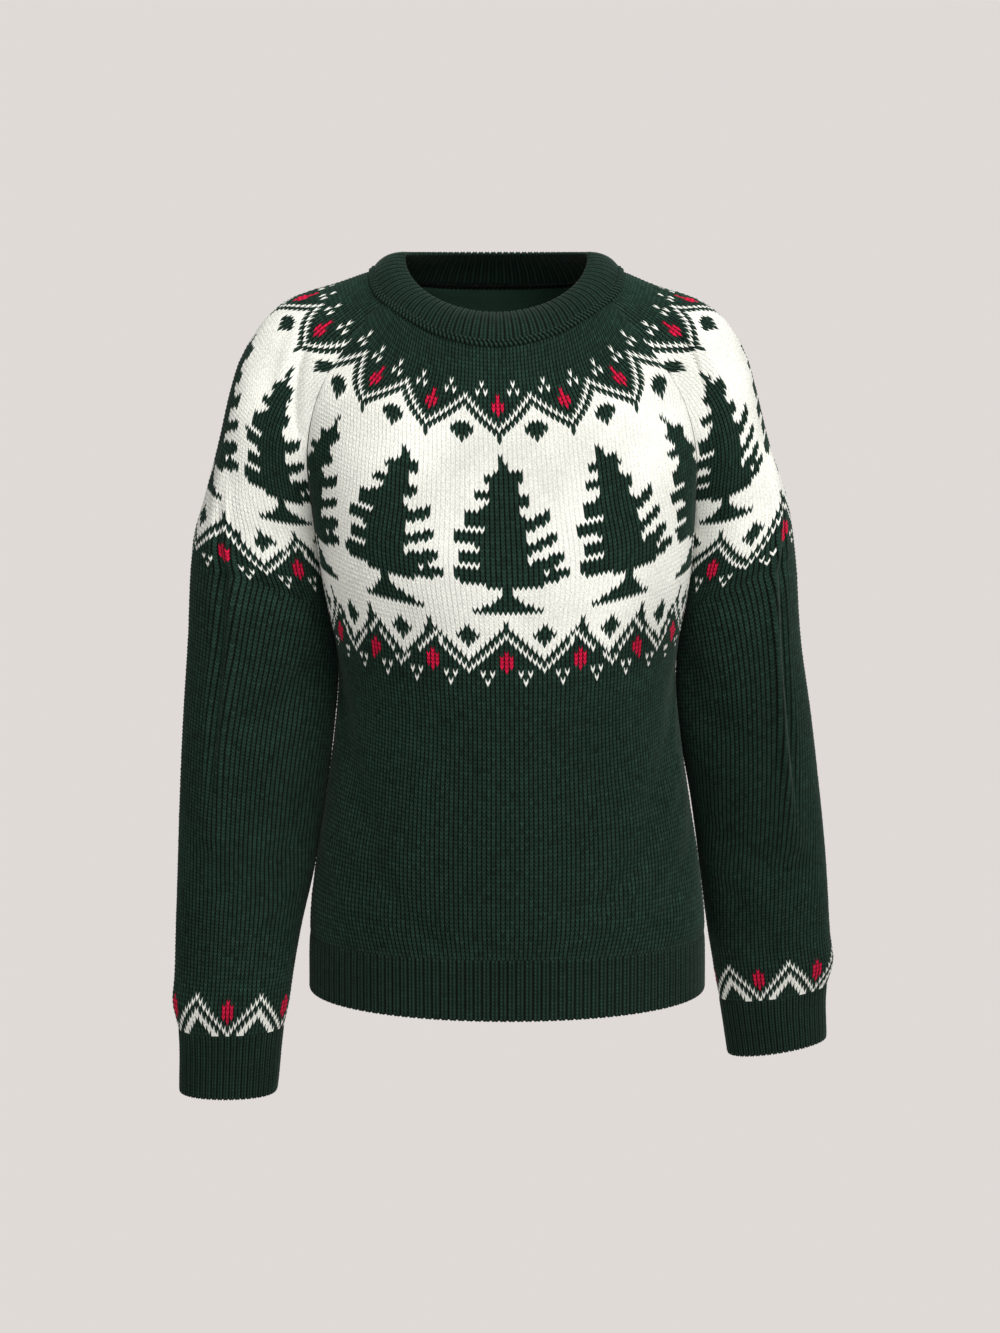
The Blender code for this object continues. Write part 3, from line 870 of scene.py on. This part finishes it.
# Rows of the white zigzags, in their valleys on the yoke and cuffs and on their crests on
# the chest, the row where the white ground meets the chest's, the first rows of the
# three-stitch sprigs, the stitches in a repeat, how far from the middle the yoke's red
# diamonds go, and how far the chest's motifs are shifted on the sleeves.
YOKE_ZIGZAG = 20
CHEST_ZIGZAG = 71
CUFF_ZIGZAGS = (206, 209, 210)
CHEST_GROUND = 66
YOKE_SPRIG = 9
CHEST_SPRIG = 80
ZIGZAG = 16
SPRIG = 8
YOKE_REDS_REACH = 44
SLEEVE_SHIFT = 8

# Small diamonds: the row of their top, and half their width in each row.
RED_IN_YOKE = (12, (0, 0, 1, 1, 0))
DARK_IN_YOKE = (19, (1, 2, 2, 1, 0))
DARK_IN_CHEST = (69, (0, 1, 2, 1, 0))
RED_IN_CHEST = (75, (0, 1, 1, 1, 0))
RED_IN_CUFF = (199, (0, 1, 1, 1, 0))


def away_from(stitch, centre, spacing):
    """Stitches to the nearest of a row of centres."""
    return np.abs((stitch - centre + spacing / 2) % spacing - spacing / 2)


def in_diamond(row, away, diamond):
    """Whether a stitch is in a small diamond."""
    top, halves = diamond
    inside = np.zeros(np.broadcast(row, away).shape, bool)
    for step, half in enumerate(halves):
        inside |= (row == top + step) & (away <= half)
    return inside


def in_fir(row, stitch):
    """Whether a stitch is in one of the fir trees."""
    step = (row - FIR_TOP_ROW).astype(int)
    across = ((stitch + FIR_SPACING // 2) % FIR_SPACING).astype(int)
    inside = (step >= 0) & (step < FIR_ROWS)
    return inside & FIR[np.clip(step, 0, FIR_ROWS - 1), across]


def chart(row, stitch, chest_shift, with_cuff):
    """Yarn of each stitch: zigzags on the yoke, fir trees, zigzags on the chest and the cuff."""
    valley = away_from(stitch, 0, ZIGZAG)
    peak = ZIGZAG // 2 - valley
    spot = away_from(stitch, SPRIG // 2, SPRIG)
    yarn = np.full(np.broadcast(row, stitch).shape, GREEN)
    yarn[(row > YOKE_ZIGZAG + 2 - valley) & (row < CHEST_GROUND)] = WHITE
    yarn[row == YOKE_ZIGZAG - valley] = WHITE
    yarn[(row == YOKE_ZIGZAG + 3) & (valley == 0)] = GREEN
    yarn[in_diamond(row, peak, DARK_IN_YOKE)] = GREEN
    yarn[in_diamond(row, valley, RED_IN_YOKE) & (np.abs(stitch) < YOKE_REDS_REACH)] = RED
    yarn[(row == YOKE_SPRIG) & (spot == 0)] = WHITE
    yarn[(row == YOKE_SPRIG + 2) & (spot == 1)] = WHITE
    yarn[in_fir(row, stitch)] = GREEN
    crest = away_from(stitch, chest_shift, ZIGZAG)
    spot = away_from(stitch, chest_shift + SPRIG // 2, SPRIG)
    yarn[(row >= CHEST_GROUND) & (row < CHEST_ZIGZAG - 2 + crest)] = WHITE
    yarn[(row == CHEST_ZIGZAG - 3) & (crest == 0)] = GREEN
    yarn[row == CHEST_ZIGZAG + crest] = WHITE
    yarn[in_diamond(row, ZIGZAG // 2 - crest, DARK_IN_CHEST)] = GREEN
    yarn[in_diamond(row, crest, RED_IN_CHEST)] = RED
    yarn[(row == CHEST_SPRIG) & (spot == 1)] = WHITE
    yarn[(row == CHEST_SPRIG + 2) & (spot == 0)] = WHITE
    if with_cuff:
        for valley_row in CUFF_ZIGZAGS:
            yarn[row == valley_row - valley] = WHITE
        yarn[in_diamond(row, valley, RED_IN_CUFF)] = RED
    return yarn


# ---- Meshes -------------------------------------------------------------------------

def first_alike(rows):
    """For each row of numbers, the place of the first one like it."""
    _, first, same = np.unique(rows, axis=0, return_index=True, return_inverse=True)
    return first[same.ravel()]


class Patch:
    """Triangles over a grid of points, four round each cell's middle, or two with no middles.

    Where keep is given, only its cells have triangles.
    """

    def __init__(self, points, relief, maps, colours, flipped, keep=None, middles=None):
        index = first_alike(np.round(maps.reshape(-1, 2), MAP_DIGITS)).reshape(points.shape[:2])
        cells = (points.shape[0] - 1, points.shape[1] - 1)
        row, column = np.nonzero(np.ones(cells, bool) if keep is None else keep)
        corner, right = index[row, column], index[row, column + 1]
        below, below_right = index[row + 1, column], index[row + 1, column + 1]
        self.relief = np.broadcast_to(relief, points.shape[:2]).ravel()
        self.points = points.reshape(-1, 3)
        maps = maps.reshape(-1, 2)
        if middles is None:
            faces = [(right, corner, below), (below_right, right, below)]
            self.soft = np.ones(len(self.points), bool)
        else:
            middle_points, middle_maps = middles
            middle = len(self.points) + np.arange(len(row))
            self.soft = np.repeat([False, True], [len(self.points), len(row)])
            self.points = np.vstack([self.points, middle_points[row, column]])
            # A leg's top has full relief, where the material paints its highlight.
            self.relief = np.append(self.relief, np.ones(len(row)))
            maps = np.vstack([maps, middle_maps[row, column]])
            faces = [(right, corner, middle), (below_right, right, middle)]
            faces += [(below, below_right, middle), (corner, below, middle)]
        faces = np.array(faces).transpose(2, 0, 1)
        if flipped:
            faces = faces[:, :, ::-1]
        self.flat = (maps - maps.min(axis=0)) / np.ptp(maps, axis=0)
        tints = np.broadcast_to(colours, cells + (3,))[row, column][:, None, None, :]
        self.faces = faces.reshape(-1, 3)
        self.tints = np.broadcast_to(tints, faces.shape + (3,)).reshape(-1, 3)
        self.maps = maps[faces].reshape(-1, 2)


def border_loops(faces):
    """The open borders of a mesh, each as the indices of its points in order."""
    edges = np.vstack([faces[:, [0, 1]], faces[:, [1, 2]], faces[:, [2, 0]]])
    scale = faces.max() + 1
    free = edges[~np.isin(edges[:, 0] * scale + edges[:, 1], edges[:, 1] * scale + edges[:, 0])]
    follow = dict(free.tolist())
    loops = []
    while follow:
        start, here = follow.popitem()
        loop = [start]
        while here != start and here in follow:
            loop.append(here)
            here = follow.pop(here)
        loops.append(loop)
    return sorted(loops, key=len, reverse=True)


def rim(flat, faces):
    """Triangles that close the seam between the right and the wrong side of a shell."""
    outer, inner = border_loops(faces)[:2]
    inner = inner[::-1]
    nearest = int(np.argmin(np.linalg.norm(flat[inner] - flat[outer[0]], axis=1)))
    inner = inner[nearest:] + inner[:nearest + 1]
    outer = outer + outer[:1]
    a = b = 0
    triangles = []
    while a < len(outer) - 1 or b < len(inner) - 1:
        step_a = step_b = math.inf
        if a < len(outer) - 1:
            step_a = np.linalg.norm(flat[outer[a + 1]] - flat[inner[b]])
        if b < len(inner) - 1:
            step_b = np.linalg.norm(flat[outer[a]] - flat[inner[b + 1]])
        if step_a <= step_b:
            triangles.append((outer[a + 1], outer[a], inner[b]))
            a += 1
        else:
            triangles.append((outer[a], inner[b], inner[b + 1]))
            b += 1
    return np.array(triangles)


def make_piece(name, patches, material, rimmed):
    """One object from patches, with a colour for each corner and sharp edges between legs."""
    starts = np.cumsum([0] + [len(patch.points) for patch in patches])
    points = np.vstack([patch.points for patch in patches])
    faces = np.vstack([patch.faces + start for patch, start in zip(patches, starts)])
    soft = np.concatenate([patch.soft for patch in patches])
    relief = np.concatenate([patch.relief for patch in patches])
    tints = np.vstack([patch.tints for patch in patches]).reshape(-1, 3, 3)
    maps = np.vstack([patch.maps for patch in patches]).reshape(-1, 3, 2)
    if not rimmed:
        faces = first_alike(np.round(points, POINT_DIGITS))[faces]
    whole = (faces[:, 0] != faces[:, 1]) & (faces[:, 1] != faces[:, 2]) & (faces[:, 2] != faces[:, 0])
    faces, tints, maps = faces[whole], tints[whole], maps[whole]
    if rimmed:
        seam = rim(np.vstack([patch.flat for patch in patches]), faces)
        faces = np.vstack([faces, seam])
        tints = np.vstack([tints, np.broadcast_to(YARNS[GREEN], seam.shape + (3,))])
        maps = np.vstack([maps, np.full(seam.shape + (2,), RIM_ON_MAP)])
    tints = tints.reshape(-1, 3)
    maps = maps.reshape(-1, 2)
    used, faces = np.unique(faces, return_inverse=True)
    faces = faces.reshape(-1, 3)
    mesh = bpy.data.meshes.new(name)
    mesh.vertices.add(len(used))
    mesh.vertices.foreach_set("co", (points[used] * MM).astype(np.float32).ravel())
    mesh.loops.add(faces.size)
    mesh.loops.foreach_set("vertex_index", faces.ravel().astype(np.int32))
    mesh.polygons.add(len(faces))
    mesh.polygons.foreach_set("loop_start", np.arange(0, faces.size, 3, dtype=np.int32))
    mesh.update(calc_edges=True)
    mesh.shade_smooth()
    ends = np.zeros(len(mesh.edges) * 2, np.int32)
    mesh.edges.foreach_get("vertices", ends)
    sharp = ~soft[used][ends.reshape(-1, 2)].any(axis=1)
    mesh.attributes.new("sharp_edge", "BOOLEAN", "EDGE").data.foreach_set("value", sharp)
    # Each point's relief share, from which the material paints shade and highlight.
    shade_reliefs = mesh.attributes.new("relief", "FLOAT", "POINT")
    shade_reliefs.data.foreach_set("value", relief[used].astype(np.float32))
    colours = mesh.color_attributes.new("yarn", "FLOAT_COLOR", "CORNER")
    opaque = np.column_stack([tints, np.ones(len(tints))])
    colours.data.foreach_set("color", opaque.astype(np.float32).ravel())
    mesh.uv_layers.new(name="OFBake").uv.foreach_set("vector", maps.astype(np.float32).ravel())
    piece = bpy.data.objects.new(name, mesh)
    mesh.materials.append(material)
    bpy.context.scene.collection.objects.link(piece)
    return piece


def on_map(share, down, strip):
    """Place on the colour map of a share across and a share of the way down a strip of it."""
    top, bottom = strip
    across = MAP_MARGIN + (1 - 2 * MAP_MARGIN) * (np.clip(share, -1, 1) + 1) / 2
    return np.stack(np.broadcast_arrays(across, top + (bottom - top) * down), axis=-1)


def rises(distance, reach):
    """How much of its full height something has at a distance from where it starts."""
    return 1 - np.exp(-distance / reach)


def from_seams(form, row, course, share, first, last):
    """Distance from the nearest edge of a knitted piece, in millimetres."""
    sideways = (1 - np.clip(np.abs(share), 0, 1)) * form.half_width(course)
    return np.minimum(sideways, np.minimum(row - first, last - row) * COURSE_HEIGHT)


def some_inside(beyond):
    """Which cells of a grid have a corner that isn't beyond the seams."""
    return ~(beyond[:-1, :-1] & beyond[:-1, 1:] & beyond[1:, :-1] & beyond[1:, 1:])


def knit_outside(form, gauge, first, last, yarns, random):
    """The right side of stocking stitch, two raised legs to a stitch."""
    lines = np.arange(-2 * gauge.widest(), 2 * gauge.widest() + 1)
    rows = np.arange(first, last + 1)
    is_middle = lines % 2 == 0
    reach = np.where(is_middle, NESTING / 2, -NESTING / 2)
    row = np.clip(rows[:, None] + reach[None, :], first, last)
    row[0] = first
    row[-1] = last
    own_row = rows[:, None].astype(float)
    beyond = np.abs(gauge.place(own_row, lines / 2)[1]) >= 1
    row = np.where(beyond, own_row, row)
    course, share = gauge.place(row, lines / 2)
    share = np.where(beyond, np.sign(share), np.clip(share, -LAST_SHARE, LAST_SHARE))
    seam = from_seams(form, row, course, share, first, last)
    height = np.where(is_middle, STITCH_MIDDLE, BETWEEN_STITCHES)
    points = form.lifted(course, share, rises(seam, SEAM_REACH) * (PUFF + height))
    # The relief share at each point sets the painted shade: darkest in the gaps between stitches.
    relief = np.where(is_middle, MIDDLE_SHADE_RELIEF, GAP_SHADE_RELIEF)
    maps = on_map(share, (row - first) / (last - first), OUTSIDE_STRIP)

    leg_row = (row[:-1, :-1] + row[:-1, 1:] + row[1:, :-1] + row[1:, 1:]) / 4
    leg_course, leg_share = gauge.place(leg_row, (lines[:-1] + 0.5) / 2)
    leg_seam = from_seams(form, leg_row, leg_course, leg_share, first, last)
    uneven = random.normal(0.0, LEG_UNEVENNESS, leg_row.shape)
    leg_lift = rises(leg_seam, SEAM_REACH) * (PUFF + LEG_TOP + uneven)
    leg_points = form.lifted(leg_course, leg_share, leg_lift)
    leg_maps = on_map(leg_share, (leg_row - first) / (last - first), OUTSIDE_STRIP)

    stitch_of_leg = (lines[:-1] + 1) // 2
    stitch_share = gauge.place(own_row[:-1] + 0.5, stitch_of_leg)[1]
    yarn = yarns(own_row[:-1], gauge.charted(own_row[:-1] + 0.5, stitch_share))
    per_stitch = random.normal(0.0, 1.0, (len(rows) - 1, lines.max() + 1))
    variation = 1 + UNEVENNESS[yarn] * per_stitch[:, stitch_of_leg - stitch_of_leg.min()]
    colours = YARNS[yarn] * variation[..., None]
    keep = some_inside(beyond)
    return Patch(points, relief, maps, colours, form.flipped, keep, (leg_points, leg_maps))


def knit_inside(form, gauge, first, last, yarns):
    """The wrong side, which meets the right side at the seams."""
    lines = np.arange(-gauge.widest(), gauge.widest() + 1)
    row = np.arange(first, last + 1.0)[:, None]
    course, share = gauge.place(row, lines)
    beyond = np.abs(share) >= 1
    share = np.clip(share, -1, 1)
    seam = from_seams(form, row, course, share, first, last)
    points = form.lifted(course, share, -KNIT_WALL * rises(seam, INSIDE_REACH))
    maps = on_map(share, (row - first) / (last - first), INSIDE_STRIP)
    yarn = yarns(row[:-1], gauge.charted(row[:-1] + 0.5, share[:-1, :-1]))
    with_white = (row[:-1] > CARRIED_ROWS[0]) & (row[:-1] < CARRIED_ROWS[1])
    carried = np.where((yarn != WHITE) & with_white, WHITE, GREEN)
    colours = YARNS[yarn] * OWN_YARN + YARNS[carried] * CARRIED_YARN
    return Patch(points, INSIDE_SHADE_RELIEF, maps, colours, not form.flipped, some_inside(beyond))


def rib_patches(form, first, last, ribs, random):
    """A band of ribs one stitch wide, its free edge rolled round to the inside."""
    lines = len(RIB["across"])
    place = np.append(np.tile(np.arange(lines), ribs), 0)
    across = np.append(np.add.outer(np.arange(ribs), RIB["across"]).ravel(), ribs)
    share = (-1 + 2 * across / ribs)[None, :]
    is_leg = RIB["height"][place] > 0
    count = int(round(last - first))
    end = last - EDGE_SETBACK
    rows = np.linspace(first, end, 2 * count + 1)
    row = np.clip(rows[:, None] + RIB["reach"][place], first, end)
    row[0] = first
    row[-1] = end
    neck = np.where(np.arange(len(rows)) % 2, 0.0, 1.0)[:, None] * is_leg
    uneven = random.normal(0.0, RIB_UNEVENNESS, row.shape)
    heights = RIB_RISE + RIB["height"][place] - RIB_NECK * neck + uneven
    # Less relief share on the legs between two stitches, so more painted shade there.
    relief = RIB["relief"][place] - (1 - RIB_NECK_SHADE_RELIEF) * neck
    ease = rises((row - first) * COURSE_HEIGHT, INSIDE_REACH)
    outside = form.lifted(row, share, ease * heights)

    heights = RIB_RISE + RIB["height"][place]
    edge, normal, down = form.axes(end, share)
    rolled = []
    for turn in np.radians(EDGE_TURNS):
        radius = EDGE_RADIUS + heights * (1 - EDGE_FLATTENING + EDGE_FLATTENING * math.cos(turn))
        out = normal * math.cos(turn) + down * math.sin(turn)
        rolled.append(edge - normal * EDGE_RADIUS + radius[:, None] * out)
    points = np.concatenate([outside] + rolled)
    relief = np.vstack([relief] + [EDGE_SHADE_RELIEF * RIB["relief"][place]] * len(rolled))
    maps = on_map(share, np.linspace(0.0, 1.0, len(points))[:, None], RIB_OUTSIDE_STRIP)
    variation = random.normal(1.0, RIB_COLOUR_UNEVENNESS, (len(points) // 2 + 1, ribs))
    stitch, rib = np.arange(len(points) - 1) // 2, np.arange(len(place) - 1) // lines
    colours = YARNS[GREEN] * variation[stitch[:, None], rib, None]
    outer = Patch(points, relief, maps, colours, form.flipped)

    row = np.linspace(first, end, count // 2 + 1)[:, None]
    ease = rises((row - first) * COURSE_HEIGHT, INSIDE_REACH)
    points = form.lifted(row, share, ease * (-2 * EDGE_RADIUS - INSIDE_RIB * heights))
    points[-1] = rolled[-1][0]
    # On the inside the painted shade is reversed: darkest behind the ribs' legs.
    relief = EDGE_SHADE_RELIEF - INSIDE_RIB_SHADE_RELIEF * RIB["relief"][place]
    maps = on_map(share, (row - first) / (last - first), RIB_INSIDE_STRIP)
    return [outer, Patch(points, relief, maps, YARNS[GREEN], not form.flipped)]


def linking_chain(form, course, radius, phase):
    """A chain of chunky stitches round the band, just above the neck seam."""
    count = CHAIN_STITCHES * CHAIN_STEPS
    share = np.linspace(-1, 1, count + 1)[None, :]
    turn = np.linspace(-math.pi, math.pi, CHAIN_SIDES + 1)[:, None]
    swell = 1 + CHAIN_BULGE * np.cos(math.pi * (share + 1) * CHAIN_STITCHES + phase + np.sin(turn))
    middle, normal, down = form.axes(course, share)
    out = normal * np.cos(turn)[..., None] + down * np.sin(turn)[..., None]
    points = middle + normal * CHAIN_OFFSET + (radius * swell)[..., None] * out
    # Relief share of the chain: painted shade between its stitches and on its far side, painted
    # highlights on its bulges.
    relief = (swell - 1 + CHAIN_BULGE) / (2 * CHAIN_BULGE) * np.cos(turn / 2) ** 2
    maps = on_map(share, np.linspace(0.0, 1.0, len(turn))[:, None], CHAIN_STRIP)
    return Patch(points, relief, maps, YARNS[GREEN], form.flipped)


# ---- Materials ----------------------------------------------------------------------

# Painted shade and highlight: how bright the gaps between stitches and the legs' tops are
# painted, and how sharply the painted highlight gathers on the tops, each in dark and in
# white yarn, which is as green as WHITE_GREEN.
GAP_SHADES = (0.03, 0.74)
LEG_HIGHLIGHTS = (2.70, 1.01)
HIGHLIGHT_SHARPNESS = (1.9, 0.5)
WHITE_GREEN = 0.9

# The wool's own look: the shader's constants, the scale and detail of the noises of its
# flecks, its brighter and darker patches and its fibres, the range in which most of a noise
# lies, the strengths of flecks and patches, and the fibres' bumps, whose depth is in metres.
WOOL = {
    "Roughness": 0.92,
    "Specular IOR Level": 0.10,
    "Sheen Weight": 0.07,
    "Sheen Roughness": 0.45,
    "Sheen Tint": (0.85, 0.95, 0.90, 1.0),
}
FLECK_NOISE = (900.0, 3.0)
PATCH_NOISE = (14.0, 2.0)
FIBRE_NOISE = (1440.0, 4.0)
NOISE_RANGE = (0.3, 0.7)
FLECKS = 0.20
PATCHES = 0.12
FUZZ = {"Strength": 0.35, "Distance": 0.0006}


class Shading:
    """The nodes of one material."""

    def __init__(self, name):
        self.material = bpy.data.materials.new(name)
        self.material.use_nodes = True
        self.tree = self.material.node_tree

    def feed(self, node, inputs):
        """Set a node's inputs to numbers or link them to other nodes' outputs."""
        for socket, value in inputs.items():
            if isinstance(value, bpy.types.NodeSocket):
                self.tree.links.new(value, node.inputs[socket])
            else:
                node.inputs[socket].default_value = value
        return node

    def node(self, kind, inputs):
        return self.feed(self.tree.nodes.new("ShaderNode" + kind), inputs)

    def spread(self, source, low, high, to_low, to_high):
        """The source's values from low to high, spread between two others."""
        inputs = {"Value": source, "From Min": low, "From Max": high, "To Min": to_low, "To Max": to_high}
        return self.node("MapRange", inputs).outputs["Result"]

    def by_whiteness(self, green, pair):
        """The first of a pair in dark yarn and the second in white yarn."""
        return self.spread(green, 0.0, WHITE_GREEN, *pair)

    def noise(self, place, scale, detail):
        return self.node("TexNoise", {"Vector": place, "Scale": scale, "Detail": detail}).outputs["Fac"]


def yarn_material(name):
    """Matt wool: the stitch's own colour with painted shade in its gaps and painted highlights on its
    legs, flecked and fuzzy at the scale of the fibres.
    """
    shading = Shading(name)
    place = shading.node("TexCoord", {}).outputs["Object"]
    yarn = shading.node("VertexColor", {})
    yarn.layer_name = "yarn"
    tint = yarn.outputs["Color"]
    attribute = shading.node("Attribute", {})
    attribute.attribute_name = "relief"
    relief = shading.spread(attribute.outputs["Fac"], 0.0, 1.0, 0.0, 1.0)
    green = shading.node("SeparateColor", {"Color": tint}).outputs["Green"]
    # Painted shade and highlight from the relief share: dark in the gaps between stitches, bright on the
    # legs' tops.
    height = shading.node("Math", {0: relief, 1: shading.by_whiteness(green, HIGHLIGHT_SHARPNESS)})
    height.operation = "POWER"
    gap_shade = shading.by_whiteness(green, GAP_SHADES)
    leg_highlight = shading.by_whiteness(green, LEG_HIGHLIGHTS)
    shade = shading.spread(height.outputs[0], 0.0, 1.0, gap_shade, leg_highlight)
    fleck = shading.noise(place, *FLECK_NOISE)
    mottle = shading.noise(place, *PATCH_NOISE)
    fibres = shading.noise(place, *FIBRE_NOISE)
    flecks = shading.spread(fleck, *NOISE_RANGE, 1 - FLECKS, 1 + FLECKS)
    patches = shading.spread(mottle, *NOISE_RANGE, 1 - PATCHES, 1 + PATCHES)
    for factor in (shade, flecks, patches):
        scaled = shading.node("VectorMath", {0: tint})
        scaled.operation = "SCALE"
        shading.feed(scaled, {"Scale": factor})
        tint = scaled.outputs["Vector"]
    fuzz = shading.node("Bump", {"Height": fibres, **FUZZ})
    shader = shading.tree.nodes["Principled BSDF"]
    shading.feed(shader, {"Base Color": tint, "Normal": fuzz.outputs["Normal"], **WOOL})
    return shading.material


# ---- Pieces -------------------------------------------------------------------------

# Cut of each piece: the node it stands for, its flat width and length in metres, and the
# area of its outline in square metres.
CUTS = {
    "front_knit": ("front_panel", (0.447, 0.558), 0.1986),
    "back_knit": ("back_panel", (0.429, 0.569), 0.1972),
    "sleeve_left_knit": ("sleeve_left", (0.376, 0.696), 0.1832),
    "sleeve_right_knit": ("sleeve_right", (0.346, 0.692), 0.1758),
    "hem_front_rib": ("hem_rib_front", (0.447, 0.051), 0.0222),
    "hem_back_rib": ("hem_rib_back", (0.431, 0.052), 0.0216),
    "cuff_left_rib": ("cuff_rib_left", (0.243, 0.055), 0.0129),
    "cuff_right_rib": ("cuff_rib_right", (0.255, 0.055), 0.0134),
    "neckband_rib": ("neckband", (0.637, 0.040), 0.0201),
}


def finish_piece(name, patches, material, slot):
    """Build a piece, attach it to the root and hide the part that it stands for."""
    node, flat, area = CUTS[name]
    piece = make_piece(name, patches, material, slot == "knit")
    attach(piece, "root")
    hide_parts(node)


def knit_piece(name, form, gauge, first, last, chest_shift, with_cuff, reading, material, random):
    """A panel or sleeve, its chart read to the right for reading 1 and to the left for -1."""
    def yarns(row, stitch):
        return chart(row, reading * stitch, chest_shift, with_cuff)

    outside = knit_outside(form, gauge, first, last, yarns, random)
    inside = knit_inside(form, gauge, first, last, yarns)
    finish_piece(name, [outside, inside], material, "knit")


def build_sweater():
    """All nine pieces."""
    random = np.random.default_rng(SEED)
    knit = yarn_material("knitted_wool")
    rib = yarn_material("ribbed_wool")
    body_gauge = Gauge(BODY_GAUGE, BODY_CHART, {"sink": body_tilt})
    for face in ("front", "back"):
        form = body_form(face)
        knit_piece(face + "_knit", form, body_gauge, 0, HEM_SEAM, 0, False, 1, knit, random)
        hem = rib_patches(form, HEM_SEAM, HEM_EDGE, HEM_RIBS, random)
        finish_piece("hem_" + face + "_rib", hem, rib, "rib")
    for side, word, own_chart in ((-1, "left", LEFT_CHART), (1, "right", RIGHT_CHART)):
        form = sleeve_form(side)
        gauge = Gauge(of_side(SLEEVE_GAUGE, side), own_chart, {"sink": sleeve_tilt, "climb": ridge_tilt})
        knit_piece("sleeve_" + word + "_knit", form, gauge, SLEEVE_TOP_ROW, CUFF_SEAM, SLEEVE_SHIFT, True,
                   side, knit, random)
        cuff = rib_patches(form, CUFF_SEAM, CUFF_EDGE, CUFF_RIBS, random)
        finish_piece("cuff_" + word + "_rib", cuff, rib, "rib")
    form = band_form()
    band = rib_patches(form, 0, BAND_ROWS, BAND_RIBS, random)
    for course, radius, phase in CHAINS:
        band.append(linking_chain(form, course, radius, phase))
    finish_piece("neckband_rib", band, rib, "rib")


# ---- Stage, light and camera --------------------------------------------------------

# The camera looks down by this slope. Its lens and sensor are in millimetres.
CAMERA_PLACE = (0.0, -2.0, -0.0705)
CAMERA_SLOPE = 324.5 / 2439
CAMERA_LENS = 65.87
SENSOR = 36.0

FLOOR_HEIGHT = -1.45
FLOOR_RADIUS = 1.2
FLOOR_CORNERS = 96
FLOOR_COLOUR = (0.78, 0.76, 0.74, 1.0)
FLOOR_ROUGHNESS = 0.8
AMBIENT = 0.34
AMBIENT_COLOUR = (1.0, 0.98, 0.97, 1.0)
BACKDROP = (0.745, 0.700, 0.680, 1.0)

# The lights face this point. Each has its place, the length of its side, its power in
# watts and its colour.
AIM = (0.0, 0.0, -0.30)
LIGHTS = {
    "key_light": ((0.75, -1.5, 1.85), 1.4, 64.0, (1.0, 0.99, 0.97)),
    "fill_light": ((0.0, -2.4, -0.3), 1.8, 14.0, (0.98, 0.99, 1.0)),
    "back_light": ((0.3, 1.9, 1.2), 1.8, 30.0, (1.0, 1.0, 1.0)),
}


def add_light(name, place, size, power, colour):
    """A square soft light that faces the middle of the sweater."""
    light = bpy.data.lights.new(name, "AREA")
    light.energy = power
    light.size = size
    light.color = colour
    lamp = bpy.data.objects.new(name, light)
    lamp.location = place
    towards = np.array(AIM) - np.array(place)
    flat = math.hypot(towards[0], towards[1])
    lamp.rotation_euler = (math.atan2(flat, -towards[2]), 0.0, math.atan2(-towards[0], towards[1]))
    bpy.context.scene.collection.objects.link(lamp)


def build_stage():
    """Pale floor, pale surroundings and soft studio light."""
    floor_mesh = bpy.data.meshes.new("floor")
    turn = np.linspace(0.0, 2 * math.pi, FLOOR_CORNERS, endpoint=False)
    ring = [(FLOOR_RADIUS * math.cos(a), FLOOR_RADIUS * math.sin(a), FLOOR_HEIGHT) for a in turn]
    floor_mesh.from_pydata(ring, [], [list(range(len(ring)))])
    floor = bpy.data.objects.new("floor", floor_mesh)
    paint = bpy.data.materials.new("floor_paint")
    paint.use_nodes = True
    paint.node_tree.nodes["Principled BSDF"].inputs["Base Color"].default_value = FLOOR_COLOUR
    paint.node_tree.nodes["Principled BSDF"].inputs["Roughness"].default_value = FLOOR_ROUGHNESS
    floor_mesh.materials.append(paint)
    bpy.context.scene.collection.objects.link(floor)

    world = bpy.data.worlds.new("surroundings")
    world.use_nodes = True
    nodes = world.node_tree.nodes
    links = world.node_tree.links
    glow = nodes["Background"]
    glow.inputs["Color"].default_value = AMBIENT_COLOUR
    glow.inputs["Strength"].default_value = AMBIENT
    backdrop = nodes.new("ShaderNodeBackground")
    backdrop.inputs["Color"].default_value = BACKDROP
    chosen = nodes.new("ShaderNodeMixShader")
    path = nodes.new("ShaderNodeLightPath")
    links.new(path.outputs["Is Camera Ray"], chosen.inputs[0])
    links.new(glow.outputs["Background"], chosen.inputs[1])
    links.new(backdrop.outputs["Background"], chosen.inputs[2])
    links.new(chosen.outputs["Shader"], nodes["World Output"].inputs["Surface"])
    bpy.context.scene.world = world
    bpy.context.scene.view_settings.view_transform = "Standard"

    for name, (place, size, power, colour) in LIGHTS.items():
        add_light(name, place, size, power, colour)


def build_camera():
    """Camera in front, a little above the middle of the chest and looking slightly down."""
    camera = bpy.data.cameras.new("camera")
    camera.lens = CAMERA_LENS
    camera.sensor_width = SENSOR
    holder = bpy.data.objects.new("camera", camera)
    holder.location = CAMERA_PLACE
    holder.rotation_euler = (math.pi / 2 - math.atan(CAMERA_SLOPE), 0.0, 0.0)
    bpy.context.scene.collection.objects.link(holder)
    bpy.context.scene.camera = holder


build_sweater()
build_stage()
build_camera()
